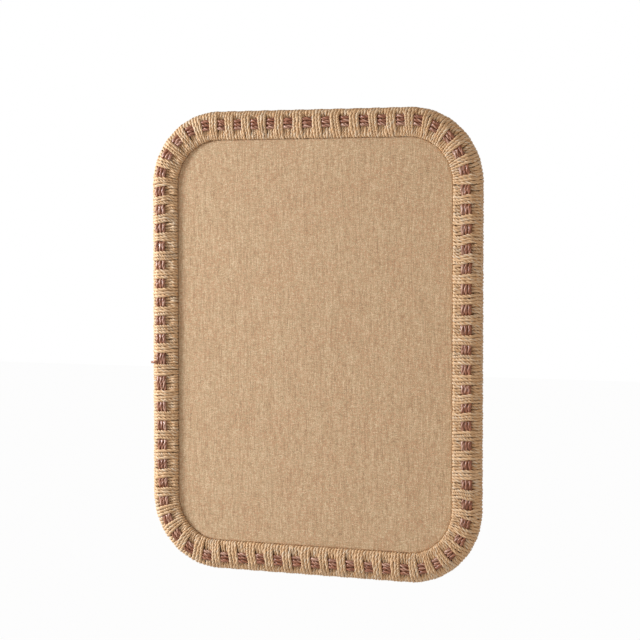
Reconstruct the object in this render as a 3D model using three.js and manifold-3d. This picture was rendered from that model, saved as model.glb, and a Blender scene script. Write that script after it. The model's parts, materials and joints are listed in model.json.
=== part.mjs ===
import * as THREE from 'three';
import { mergeVertices } from 'three/addons/utils/BufferGeometryUtils.js';
import Module from 'manifold-3d';

// Bulletin board: a frame wound with natural cord, three brown cords woven along its face, and a
// linen-covered pin panel inside it. Millimetres. X runs to the right, Z up, and the face looks
// to -Y. The origin is the middle of the board on the wall. A depth is a distance out from the
// wall, so y = -depth, and an inset is a distance in from the frame's outer edge.

// Frame and its core
const outerWidth = 500;
const outerHeight = 650;
const outerRadius = 104;
const faceWidth = 40;
const wallStandoff = 5;
const coreThickness = 11;
const coreChamfer = 2.5;
const glueLine = 0.3;
const splineWidth = 18;
const splineLength = 20;
const splineThickness = 3.2;

// Clearance between pieces that lie on or in each other
const seatGap = 0.3;

// Winding of natural cord
const cordDiameter = 4.4;
const cordUnderBrown = 1.5;
const cordOverBrown = 2.2;
const turnsInGroup = 3;
const weavePeriod = 26.9;
const footInset = 3;
const footSink = 0.6;
const shoulderShare = 0.7;

// Brown cords
const brownDiameter = 5;
const brownCount = 3;
const brownInset = 17;
const spliceGap = 0.6;
const spliceShare = 0.8;
const tailDiameter = 3;
const tailOffset = 4;

// Pin panel
const panelFit = 0.5;
const panelFaceDepth = 14.5;
const linenThickness = 0.8;
const linenTurn = 25;
const corkThickness = 5;
const boardThickness = 5;

// Screws, retaining clips and bumpers
const screwHeadRadius = 3.2;
const screwHeadHeight = 2;
const screwShankRadius = 1.5;
const screwLength = 14;
const screwTipLength = 3;
const clipWidth = 14;
const clipThickness = 1.2;
const clipScrewInset = 22;
const clipHeel = 7;
const clipTongue = 15;
const clipHeightShare = 0.45;
const bumperRadius = 6;
const bumperChamfer = 1.2;
const bumperStemRadius = 2.5;
const bumperStemLength = 11;

// D-ring hangers
const strapThickness = 0.8;
const strapWidth = 11;
const strapScrewDrop = 21;
const strapEndMargin = 6;
const ringWireRadius = 1.2;
const ringHalfWidth = 9.2;
const ringBend = 2.6;
const ringSide = 4;
const ringJoint = 0.4;
const hangerHeightShare = 0.8;

// Facets
const cornerSteps = 8;
const edgeSteps = 3;
const cordSides = 8;
const roundSides = 10;
const curlSteps = 12;
const ringSteps = 26;
const cutOverrun = 1;

// Depths and insets that follow from the sizes above
const frameBack = wallStandoff;
const coreBack = frameBack + cordDiameter;
const coreFront = coreBack + coreThickness;
const wrapFront = coreFront + cordDiameter;
const grooveFloor = coreFront + seatGap + cordUnderBrown;
const brownDepth = grooveFloor + seatGap + brownDiameter / 2;
const grooveCeiling = brownDepth + brownDiameter / 2 + seatGap;
const crown = grooveCeiling + cordOverBrown;
const wrapEdgeRadius = coreChamfer + cordDiameter;
const brownPitch = brownDiameter + seatGap;
const grooveHalf = brownPitch * (brownCount - 1) / 2 + brownDiameter / 2 + seatGap;
const railInset = faceWidth / 2;
const linenFace = frameBack + panelFaceDepth;
const corkFront = linenFace - linenThickness - seatGap;
const corkBack = corkFront - corkThickness;
const boardFront = corkBack - seatGap;
const boardBack = boardFront - boardThickness;
const linenBack = boardBack - seatGap - linenThickness;

const wasm = await Module();
wasm.setup();

// Solids: a geometry made a solid for cutting and joining, and back
const solidOf = (geometry) => {
  const bare = geometry.clone();
  bare.deleteAttribute('normal');
  bare.deleteAttribute('uv');
  const merged = mergeVertices(bare);
  const vertProperties = new Float32Array(merged.attributes.position.array);
  const triVerts = new Uint32Array(merged.index.array);
  return new wasm.Manifold(new wasm.Mesh({ numProp: 3, vertProperties, triVerts }));
};

const geometryOf = (solid) => {
  const mesh = solid.getMesh();
  const geometry = new THREE.BufferGeometry();
  geometry.setAttribute('position', new THREE.BufferAttribute(new Float32Array(mesh.vertProperties), 3));
  geometry.setIndex(new THREE.BufferAttribute(new Uint32Array(mesh.triVerts), 1));
  geometry.computeVertexNormals();
  return geometry;
};

const cutAll = (solid, cutters) => cutters.reduce((left, cutter) => left.subtract(cutter), solid);
const joinAll = (solid, others) => others.reduce((sum, other) => sum.add(other), solid);

// The ring route: clockwise seen from the front, from the left end of the top rail, measured
// along the line on which the middle brown cord lies
const quarters = [
  { along: [1, 0], inward: [0, -1] },
  { along: [0, -1], inward: [-1, 0] },
  { along: [-1, 0], inward: [0, 1] },
  { along: [0, 1], inward: [1, 0] },
];
const cornerX = outerWidth / 2 - outerRadius;
const cornerZ = outerHeight / 2 - outerRadius;
const guideRadius = outerRadius - brownInset;
const cornerLength = guideRadius * Math.PI / 2;
const railLengths = [2 * cornerX, 2 * cornerZ, 2 * cornerX, 2 * cornerZ];
const routeLength = railLengths.reduce((sum, length) => sum + length + cornerLength, 0);
const railStarts = railLengths.map((_, index) => railLengths.slice(0, index)
  .reduce((sum, length) => sum + length + cornerLength, 0));

const mix = (a, b, angle) => [0, 1].map((axis) => a[axis] * Math.cos(angle) + b[axis] * Math.sin(angle));

// Place, direction and inward direction of the route at a distance along it
const ringAt = (distance) => {
  const along = ((distance % routeLength) + routeLength) % routeLength;
  const index = railStarts.findLastIndex((start) => start <= along);
  const quarter = quarters[index];
  const next = quarters[(index + 1) % quarters.length];
  const past = along - railStarts[index] - railLengths[index];
  const angle = Math.max(past, 0) / guideRadius;
  const tangent = mix(quarter.along, next.along, angle);
  const inward = mix(quarter.inward, next.inward, angle);
  const centre = [Math.sign(quarter.along[0] - quarter.inward[0]) * cornerX,
    Math.sign(quarter.along[1] - quarter.inward[1]) * cornerZ];
  const back = Math.min(past, 0);
  const point = [0, 1].map((axis) => centre[axis] - inward[axis] * guideRadius + tangent[axis] * back);
  return { point, tangent, inward };
};

// Distances at which a sweep between two distances needs a station
const stationsBetween = (from, to) => {
  const stations = [from];
  const turns = Math.ceil(to / routeLength);
  for (let turn = -1; turn <= turns; turn += 1) {
    railStarts.forEach((start, index) => {
      const corner = turn * routeLength + start + railLengths[index];
      for (let step = 0; step <= cornerSteps; step += 1) {
        const station = corner + cornerLength * step / cornerSteps;
        if (station > from + cutOverrun && station < to - cutOverrun) stations.push(station);
      }
    });
  }
  stations.push(to);
  return stations;
};

// The stretch of the ring route that a section is swept along: its first axis is depth and its
// second is inset, counted from the middle brown cord
class RingRoute extends THREE.Curve {
  constructor(from, to) {
    super();
    this.stations = stationsBetween(from, to);
    this.steps = this.stations.length - 1;
  }

  placeAt(share) {
    return ringAt(this.stations[Math.round(share * this.steps)]);
  }

  getPointAt(share) {
    const { point } = this.placeAt(share);
    return new THREE.Vector3(point[0], 0, point[1]);
  }

  computeFrenetFrames(steps) {
    const frames = { tangents: [], normals: [], binormals: [] };
    for (let step = 0; step <= steps; step += 1) {
      const { tangent, inward } = this.placeAt(step / steps);
      frames.tangents.push(new THREE.Vector3(tangent[0], 0, tangent[1]));
      frames.normals.push(new THREE.Vector3(0, -1, 0));
      frames.binormals.push(new THREE.Vector3(inward[0], 0, inward[1]));
    }
    return frames;
  }
}

// Sections are lists of [depth, inset]
const sectionShape = (section, hole) => {
  const points = (list) => list.map(([depth, inset]) => new THREE.Vector2(depth, inset - brownInset));
  const shape = new THREE.Shape(points(section));
  if (hole) shape.holes.push(new THREE.Path(points(hole)));
  return shape;
};

const sweep = (section, from, to, hole) => {
  const extrudePath = new RingRoute(from, to);
  const settings = { extrudePath, steps: extrudePath.steps, bevelEnabled: false };
  return solidOf(new THREE.ExtrudeGeometry(sectionShape(section, hole), settings));
};

// A straight prism of a section, centred on a place of the route and square to it
const prismAt = (section, distance, length) => {
  const { point, tangent, inward } = ringAt(distance);
  const geometry = new THREE.ExtrudeGeometry(sectionShape(section), { depth: length, bevelEnabled: false });
  geometry.translate(0, 0, -length / 2);
  const basis = new THREE.Matrix4().makeBasis(
    new THREE.Vector3(0, -1, 0),
    new THREE.Vector3(inward[0], 0, inward[1]),
    new THREE.Vector3(tangent[0], 0, tangent[1]),
  );
  geometry.applyMatrix4(basis);
  geometry.translate(point[0], 0, point[1]);
  return solidOf(geometry);
};

const placeOnRing = (distance, inset) => {
  const { point, inward } = ringAt(distance);
  return [0, 1].map((axis) => point[axis] + inward[axis] * (inset - brownInset));
};

// A round piece on an axis square to the wall, from [radius, depth] points that start and end
// on the axis
const turned = (profile, x, z) => {
  const points = profile.map(([radius, depth]) => new THREE.Vector2(radius, depth));
  const geometry = new THREE.LatheGeometry(points, roundSides);
  geometry.rotateX(Math.PI);
  geometry.translate(x, 0, z);
  return solidOf(geometry);
};

const bore = (radius, fromDepth, toDepth, x, z) => turned(
  [[0, fromDepth], [radius, fromDepth], [radius, toDepth], [0, toDepth]],
  x,
  z,
);

const chamferedSection = (backDepth, frontDepth, outerInset, innerInset, chamfer) => [
  [backDepth, outerInset + chamfer],
  [backDepth + chamfer, outerInset],
  [frontDepth - chamfer, outerInset],
  [frontDepth, outerInset + chamfer],
  [frontDepth, innerInset - chamfer],
  [frontDepth - chamfer, innerInset],
  [backDepth + chamfer, innerInset],
  [backDepth, innerInset - chamfer],
];

const roundedSection = (backDepth, frontDepth, outerInset, innerInset, radius) => {
  const centres = [
    [frontDepth - radius, innerInset - radius],
    [backDepth + radius, innerInset - radius],
    [backDepth + radius, outerInset + radius],
    [frontDepth - radius, outerInset + radius],
  ];
  return centres.flatMap(([depth, inset], corner) => Array.from({ length: edgeSteps + 1 }, (_, step) => {
    const angle = (corner + step / edgeSteps) * Math.PI / 2;
    return [depth + radius * Math.cos(angle), inset + radius * Math.sin(angle)];
  }));
};

// A flat plate inside the frame whose edge keeps one inset all round
const plate = (inset, fromDepth, toDepth) => {
  const shape = new THREE.Shape();
  const points = [];
  quarters.forEach((quarter, index) => {
    const next = quarters[(index + 1) % quarters.length];
    const centre = ringAt(railStarts[index] + railLengths[index]);
    for (let step = 0; step <= cornerSteps; step += 1) {
      const inward = mix(quarter.inward, next.inward, Math.PI / 2 * step / cornerSteps);
      points.push([0, 1].map((axis) => centre.point[axis] + centre.inward[axis] * guideRadius
        - inward[axis] * (outerRadius - inset)));
    }
  });
  shape.setFromPoints(points.reverse().map(([x, z]) => new THREE.Vector2(x, z)));
  const geometry = new THREE.ExtrudeGeometry(shape, { depth: toDepth - fromDepth, bevelEnabled: false });
  geometry.translate(0, 0, fromDepth);
  geometry.rotateX(Math.PI / 2);
  return solidOf(geometry);
};

// Places of the fittings on the back, as distances along the route
const middleOfRail = (index) => railStarts[index] + railLengths[index] / 2;
const clipPlaces = [
  { name: 'top', distance: middleOfRail(0) },
  { name: 'right_upper', distance: middleOfRail(1) - cornerZ * clipHeightShare },
  { name: 'right_lower', distance: middleOfRail(1) + cornerZ * clipHeightShare },
  { name: 'bottom', distance: middleOfRail(2) },
  { name: 'left_lower', distance: middleOfRail(3) - cornerZ * clipHeightShare },
  { name: 'left_upper', distance: middleOfRail(3) + cornerZ * clipHeightShare },
];
const hangerHeight = cornerZ * hangerHeightShare;
const hangerPlaces = [
  { name: 'left', x: railInset - outerWidth / 2 },
  { name: 'right', x: outerWidth / 2 - railInset },
];
const bumperNames = ['top_right', 'bottom_right', 'bottom_left', 'top_left'];
const bumperPlaces = bumperNames.map((name, index) => ({
  name,
  place: placeOnRing(railStarts[index] + railLengths[index] + cornerLength / 2, railInset),
}));

// Each screw's place, and the depth of the face under its head
const clipFace = frameBack - seatGap - clipThickness;
const strapFace = frameBack - seatGap - strapThickness;
const clipScrews = clipPlaces.map(({ name, distance }) => {
  const [x, z] = placeOnRing(distance, clipScrewInset);
  return { name: `clip_screw_${name}`, x, z, seat: clipFace - seatGap };
});
const hangerScrews = hangerPlaces.map(({ name, x }) => ({
  name: `hanger_screw_${name}`,
  x,
  z: hangerHeight - strapScrewDrop,
  seat: strapFace - seatGap,
}));
const screws = [...clipScrews, ...hangerScrews];

const backHoles = [
  ...screws.map(({ x, z, seat }) => bore(screwShankRadius + seatGap, -cutOverrun, seat + screwLength + seatGap, x, z)),
  ...bumperPlaces.map(({ place: [x, z] }) => bore(
    bumperStemRadius + seatGap,
    -cutOverrun,
    frameBack - seatGap + bumperStemLength + seatGap,
    x,
    z,
  )),
];

// Core of the frame: four rails and four corner blocks with a tongue across each glue line
const coreSection = chamferedSection(coreBack, coreFront, cordDiameter, faceWidth - cordDiameter, coreChamfer);
const tongueSection = (clearance) => {
  const middle = (coreBack + coreFront) / 2;
  const halfThickness = splineThickness / 2 + clearance;
  const halfWidth = splineWidth / 2 + clearance;
  return [
    [middle - halfThickness, railInset - halfWidth],
    [middle + halfThickness, railInset - halfWidth],
    [middle + halfThickness, railInset + halfWidth],
    [middle - halfThickness, railInset + halfWidth],
  ];
};
const tonguePlaces = railStarts.flatMap((start, index) => [start, start + railLengths[index]]);
const tongueSlots = tonguePlaces.map((place) => prismAt(tongueSection(seatGap), place, splineLength + 2 * seatGap));

const coreBetween = (from, to) => cutAll(
  sweep(coreSection, from + glueLine / 2, to - glueLine / 2),
  [...tongueSlots, ...backHoles],
);

// Winding of natural cord: a sleeve round the core, with one raised band for each group of turns
// that passes over the brown cords, which run in a groove and through the bands
const periodCount = Math.round(routeLength / weavePeriod);
const period = routeLength / periodCount;
const bandLength = turnsInGroup * cordDiameter;
const squareAt = (index) => index * period + bandLength;
const bandAt = (index) => squareAt(index) + period / 2;
const nearestSquare = (distance) => squareAt(Math.round((distance - bandLength) / period));

const sleeveSection = roundedSection(frameBack, wrapFront, 0, faceWidth, wrapEdgeRadius);
const sleeveHole = chamferedSection(
  coreBack - seatGap,
  coreFront + seatGap,
  cordDiameter - seatGap,
  faceWidth - cordDiameter + seatGap,
  coreChamfer,
);
const grooveOuter = brownInset - grooveHalf;
const grooveInner = brownInset + grooveHalf;
const grooveSection = chamferedSection(
  grooveFloor,
  grooveCeiling,
  grooveOuter,
  grooveInner,
  (brownDiameter / 2 + seatGap) * (2 - Math.SQRT2),
);
const edgeRise = Math.sqrt(wrapEdgeRadius ** 2 - (wrapEdgeRadius - footInset) ** 2);
const footDepth = wrapFront - wrapEdgeRadius + edgeRise - footSink;
const shoulder = cordOverBrown * shoulderShare;
const bandSection = [
  [footDepth, footInset],
  [crown - shoulder, grooveOuter - shoulder],
  [crown, grooveOuter + shoulder],
  [crown, grooveInner - shoulder],
  [crown - shoulder, grooveInner + shoulder],
  [footDepth, faceWidth - footInset],
];

const sleeveBetween = (from, to) => {
  const bands = [];
  for (let index = -periodCount; index < 2 * periodCount; index += 1) {
    const place = bandAt(index);
    if (place > from && place < to) bands.push(prismAt(bandSection, place, bandLength));
  }
  const start = from + seatGap / 2;
  const end = to - seatGap / 2;
  const joined = joinAll(sweep(sleeveSection, start, end, sleeveHole), bands);
  return cutAll(joined, [sweep(grooveSection, from - cutOverrun, to + cutOverrun), ...backHoles]);
};

// Brown cords: three whole turns of the ring, whose ends meet under one band
const circleSection = (radius, depth, inset) => Array.from({ length: cordSides }, (_, side) => {
  const angle = 2 * Math.PI * (side + 1 / 2) / cordSides;
  return [depth + radius * Math.cos(angle), inset + radius * Math.sin(angle)];
});
const splice = bandAt(Math.round((routeLength * spliceShare - bandLength) / period) - 1);
const brownCord = (index) => {
  const inset = brownInset + brownPitch * (index - (brownCount - 1) / 2);
  const section = circleSection(brownDiameter / 2, brownDepth, inset);
  return sweep(section, splice + spliceGap / 2, splice + routeLength - spliceGap / 2);
};

// The cut end of the outer brown cord, laid over the frame's edge beside the splice
class AcrossRoute extends THREE.Curve {
  getPoint(share) {
    const radius = wrapEdgeRadius + seatGap + tailDiameter / 2;
    const flat = grooveOuter - wrapEdgeRadius;
    const arc = radius * Math.PI / 3;
    const travelled = share * (flat + arc);
    const angle = Math.max(travelled - flat, 0) / radius;
    const inset = wrapEdgeRadius + Math.max(flat - travelled, 0) - radius * Math.sin(angle);
    const depth = wrapFront - wrapEdgeRadius + radius * Math.cos(angle);
    const [x, z] = placeOnRing(splice + period / 2 - tailOffset, inset);
    return new THREE.Vector3(x, -depth, z);
  }
}

const roundShape = (radius) => new THREE.Shape(
  circleSection(radius, 0, 0).map(([x, y]) => new THREE.Vector2(x, y)),
);
const cordTail = () => solidOf(new THREE.ExtrudeGeometry(roundShape(tailDiameter / 2), {
  extrudePath: new AcrossRoute(),
  steps: cordSides,
  bevelEnabled: false,
}));

// Pin panel: a linen cover turned round the edges of a cork layer on a backing board
const panelInset = faceWidth + panelFit;
const fillInset = panelInset + linenThickness + seatGap;
const cork = () => plate(fillInset, corkBack, corkFront);
const board = () => plate(fillInset, boardBack, boardFront);
const linen = () => cutAll(plate(panelInset, linenBack, linenFace), [
  plate(panelInset + linenThickness, linenBack + linenThickness, linenFace - linenThickness),
  plate(panelInset + linenThickness + linenTurn, linenBack - cutOverrun, boardBack),
]);

// Retaining clips: a heel screwed to the frame and a tongue that presses on the panel's back
const clipSection = () => {
  const heelStart = clipScrewInset - clipHeel;
  const bendStart = faceWidth - wrapEdgeRadius;
  const heelDepth = frameBack - seatGap;
  const tongueDepth = linenBack - seatGap;
  return [
    [heelDepth, heelStart],
    [heelDepth, bendStart],
    [tongueDepth, panelInset],
    [tongueDepth, panelInset + clipTongue],
    [tongueDepth - clipThickness, panelInset + clipTongue],
    [tongueDepth - clipThickness, panelInset],
    [heelDepth - clipThickness, bendStart],
    [heelDepth - clipThickness, heelStart],
  ];
};
const clip = ({ distance }) => {
  const [x, z] = placeOnRing(distance, clipScrewInset);
  const hole = bore(screwShankRadius + seatGap, -cutOverrun, frameBack, x, z);
  return cutAll(prismAt(clipSection(), distance, clipWidth), [hole]);
};

const screw = ({ x, z, seat }) => turned([
  [0, seat - screwHeadHeight],
  [screwHeadRadius * shoulderShare, seat - screwHeadHeight],
  [screwHeadRadius, seat - screwHeadHeight / 2],
  [screwHeadRadius, seat],
  [screwShankRadius, seat],
  [screwShankRadius, seat + screwLength - screwTipLength],
  [0, seat + screwLength],
], x, z);

const bumper = ({ place: [x, z] }) => turned([
  [0, 0],
  [bumperRadius - bumperChamfer, 0],
  [bumperRadius, bumperChamfer],
  [bumperRadius, frameBack - seatGap],
  [bumperStemRadius, frameBack - seatGap],
  [bumperStemRadius, frameBack - seatGap + bumperStemLength],
  [0, frameBack - seatGap + bumperStemLength],
], x, z);

// Hangers: a strap whose top end curls round the bar of a D-ring that hangs from it
const curlInner = ringWireRadius + seatGap;
const curlOuter = curlInner + strapThickness;
const pivotDepth = frameBack - seatGap - curlOuter;
const curlArc = (radius) => Array.from({ length: curlSteps + 1 }, (_, step) => {
  const angle = 3 * Math.PI / 2 * step / curlSteps;
  return [pivotDepth + radius * Math.cos(angle), radius * Math.sin(angle)];
});
const strap = ({ x }) => {
  const foot = strapScrewDrop + strapEndMargin;
  const outline = [
    [pivotDepth + curlOuter, -foot],
    ...curlArc(curlOuter),
    ...curlArc(curlInner).reverse(),
    [pivotDepth + curlInner, -foot],
  ];
  const shape = new THREE.Shape(outline.map(([depth, height]) => new THREE.Vector2(-depth, height)));
  const geometry = new THREE.ExtrudeGeometry(shape, { depth: strapWidth, bevelEnabled: false });
  geometry.translate(0, 0, -strapWidth / 2);
  const basis = new THREE.Matrix4().makeBasis(
    new THREE.Vector3(0, 1, 0),
    new THREE.Vector3(0, 0, 1),
    new THREE.Vector3(1, 0, 0),
  );
  geometry.applyMatrix4(basis);
  geometry.translate(x, 0, hangerHeight);
  const hole = bore(screwShankRadius + seatGap, -cutOverrun, frameBack, x, hangerHeight - strapScrewDrop);
  return cutAll(solidOf(geometry), [hole]);
};

class RingWire extends THREE.Curve {
  constructor(x) {
    super();
    this.x = x;
    const outline = new THREE.Path();
    outline.moveTo(ringJoint / 2, 0);
    outline.lineTo(ringHalfWidth - ringBend, 0);
    outline.absarc(ringHalfWidth - ringBend, -ringBend, ringBend, Math.PI / 2, 0, true);
    outline.lineTo(ringHalfWidth, -ringSide);
    outline.absarc(0, -ringSide, ringHalfWidth, 0, -Math.PI, true);
    outline.lineTo(-ringHalfWidth, -ringBend);
    outline.absarc(ringBend - ringHalfWidth, -ringBend, ringBend, Math.PI, Math.PI / 2, true);
    outline.lineTo(-ringJoint / 2, 0);
    this.outline = outline;
  }

  getPoint(share) {
    const point = this.outline.getPointAt(share);
    return new THREE.Vector3(this.x + point.x, -pivotDepth, hangerHeight + point.y);
  }
}
const ring = ({ x }) => solidOf(new THREE.ExtrudeGeometry(roundShape(ringWireRadius), {
  extrudePath: new RingWire(x),
  steps: ringSteps,
  bevelEnabled: false,
}));

// Materials
const finishes = {
  naturalCord: { color: 0xd8b987, roughness: 0.85, metalness: 0 },
  brownCord: { color: 0x8a5a45, roughness: 0.45, metalness: 0 },
  linen: { color: 0xc6a175, roughness: 0.95, metalness: 0 },
  cork: { color: 0xb58558, roughness: 0.95, metalness: 0 },
  fibreboard: { color: 0xa88a63, roughness: 0.8, metalness: 0 },
  plywood: { color: 0xcfae7c, roughness: 0.75, metalness: 0 },
  steel: { color: 0xb9bbbd, roughness: 0.35, metalness: 1 },
  rubber: { color: 0x26241f, roughness: 0.7, metalness: 0 },
};

const meshOf = (name, solid, finish) => {
  const mesh = new THREE.Mesh(geometryOf(solid), new THREE.MeshStandardMaterial(finishes[finish]));
  mesh.name = name;
  return mesh;
};

// Assembly
const assembly = (meshes) => new THREE.Group().add(...meshes);
const railNames = ['top', 'right', 'bottom', 'left'];
const legs = railStarts.flatMap((start, index) => {
  const corner = start + railLengths[index];
  return [
    { name: `${railNames[index]}_rail`, from: start, to: corner },
    { name: `${bumperNames[index]}_corner`, from: corner, to: corner + cornerLength },
  ];
});

const core = assembly([
  ...legs.map(({ name, from, to }) => meshOf(`core_${name}`, coreBetween(from, to), 'fibreboard')),
  ...tonguePlaces.map((place, index) => meshOf(
    `core_spline_${index + 1}`,
    prismAt(tongueSection(0), place, splineLength),
    'plywood',
  )),
]);
const winding = assembly(legs.map(({ name, from, to }) => meshOf(
  `cord_wrap_${name}`,
  sleeveBetween(nearestSquare(from), nearestSquare(to)),
  'naturalCord',
)));
const cordNames = ['outer', 'middle', 'inner'];
const brownCords = assembly([
  ...cordNames.map((name, index) => meshOf(`brown_cord_${name}`, brownCord(index), 'brownCord')),
  meshOf('brown_cord_tail', cordTail(), 'brownCord'),
]);
const panel = assembly([
  meshOf('linen_cover', linen(), 'linen'),
  meshOf('cork_layer', cork(), 'cork'),
  meshOf('backing_board', board(), 'fibreboard'),
]);
const fittings = assembly([
  ...clipPlaces.map((place) => meshOf(`panel_clip_${place.name}`, clip(place), 'steel')),
  ...screws.map((place) => meshOf(place.name, screw(place), 'steel')),
  ...bumperPlaces.map((place) => meshOf(`wall_bumper_${place.name}`, bumper(place), 'rubber')),
]);
const hangers = assembly(hangerPlaces.flatMap((place) => [
  meshOf(`hanger_strap_${place.name}`, strap(place), 'steel'),
  meshOf(`hanger_ring_${place.name}`, ring(place), 'steel'),
]));

const group = new THREE.Group();
group.add(core, winding, brownCords, panel, fittings, hangers);

export default group;
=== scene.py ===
"""Bulletin board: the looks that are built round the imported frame.

The frame is wound all round with a natural twisted cord, three brown cords are woven along its
face, and a linen-covered pin panel sits inside it. Sizes are in metres, in the part's own frame:
X to the right, Z up, the face towards -Y and the wall at Y = 0. A depth is a distance out from
the wall, and an inset is a distance in from the frame's outer edge.
"""

import json
import logging
import math
from collections.abc import Callable, Mapping, Sequence
from dataclasses import dataclass, field
from enum import Enum

import bmesh
import bpy
import numpy as np
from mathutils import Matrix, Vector


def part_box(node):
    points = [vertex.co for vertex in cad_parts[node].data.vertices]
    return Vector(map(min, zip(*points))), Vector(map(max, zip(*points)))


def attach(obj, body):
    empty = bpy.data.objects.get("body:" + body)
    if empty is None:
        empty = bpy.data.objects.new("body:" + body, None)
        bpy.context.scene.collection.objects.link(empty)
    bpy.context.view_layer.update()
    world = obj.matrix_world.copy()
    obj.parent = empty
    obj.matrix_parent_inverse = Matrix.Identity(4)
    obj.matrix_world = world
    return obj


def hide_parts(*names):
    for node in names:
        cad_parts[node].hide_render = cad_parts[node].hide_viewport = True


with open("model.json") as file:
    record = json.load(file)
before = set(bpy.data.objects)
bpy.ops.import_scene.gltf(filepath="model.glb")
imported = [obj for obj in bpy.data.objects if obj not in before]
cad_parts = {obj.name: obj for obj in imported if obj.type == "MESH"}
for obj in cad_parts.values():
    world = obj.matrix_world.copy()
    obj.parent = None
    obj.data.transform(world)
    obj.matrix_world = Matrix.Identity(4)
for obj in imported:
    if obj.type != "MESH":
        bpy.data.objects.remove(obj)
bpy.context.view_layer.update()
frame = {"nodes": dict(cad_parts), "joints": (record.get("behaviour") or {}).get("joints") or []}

LOG = logging.getLogger("bulletin_board")
MM = 0.001
TINY = 1e-6
MERGED = 0.001 * MM
TO_WALL = np.array([0.0, 1.0, 0.0])
TO_FRONT = np.array([0.0, -1.0, 0.0])
TO_RIGHT = np.array([1.0, 0.0, 0.0])
UPWARDS = np.array([0.0, 0.0, 1.0])
Colour = tuple[float, float, float, float]
WHITE: Colour = (1.0, 1.0, 1.0, 1.0)


class Body(Enum):
    """The bodies of the part that a piece can ride on."""

    BOARD = "board"
    LEFT_RING = "left_ring"
    RIGHT_RING = "right_ring"


class Slot(Enum):
    """The material slots of the part's record."""

    NATURAL_CORD = "natural_cord"
    BROWN_CORD = "brown_cord"
    LINEN = "linen"
    STEEL = "steel"
    RUBBER = "rubber"


def srgb(red: int, green: int, blue: int) -> Colour:
    """Gives the linear colour of an 8-bit sRGB colour.

    Args:
        red: Red, from 0 to 255.
        green: Green, from 0 to 255.
        blue: Blue, from 0 to 255.

    Returns:
        The colour as Blender's sockets take it.
    """
    shares = [value / 255 for value in (red, green, blue)]
    linear = [c / 12.92 if c <= 0.04045 else ((c + 0.055) / 1.055) ** 2.4 for c in shares]
    return (linear[0], linear[1], linear[2], 1.0)


# Node trees


@dataclass(frozen=True)
class Wire:
    """A node's output, on which sums and products are written as Python expressions."""

    graph: "Graph"
    socket: bpy.types.NodeSocket

    def __add__(self, other: "Wire | float") -> "Wire":
        """Adds a value."""
        return self.graph.math("ADD", self, other)

    def __radd__(self, other: float) -> "Wire":
        """Adds to a number."""
        return self.graph.math("ADD", other, self)

    def __sub__(self, other: "Wire | float") -> "Wire":
        """Takes a value away."""
        return self.graph.math("SUBTRACT", self, other)

    def __rsub__(self, other: float) -> "Wire":
        """Takes this away from a number."""
        return self.graph.math("SUBTRACT", other, self)

    def __mul__(self, other: "Wire | float") -> "Wire":
        """Multiplies by a value."""
        return self.graph.math("MULTIPLY", self, other)

    def __rmul__(self, other: float) -> "Wire":
        """Multiplies a number."""
        return self.graph.math("MULTIPLY", other, self)

    def __truediv__(self, other: "Wire | float") -> "Wire":
        """Divides by a value."""
        return self.graph.math("DIVIDE", self, other)

    def __pow__(self, other: "Wire | float") -> "Wire":
        """Raises to a power."""
        return self.graph.math("POWER", self, other)


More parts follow.
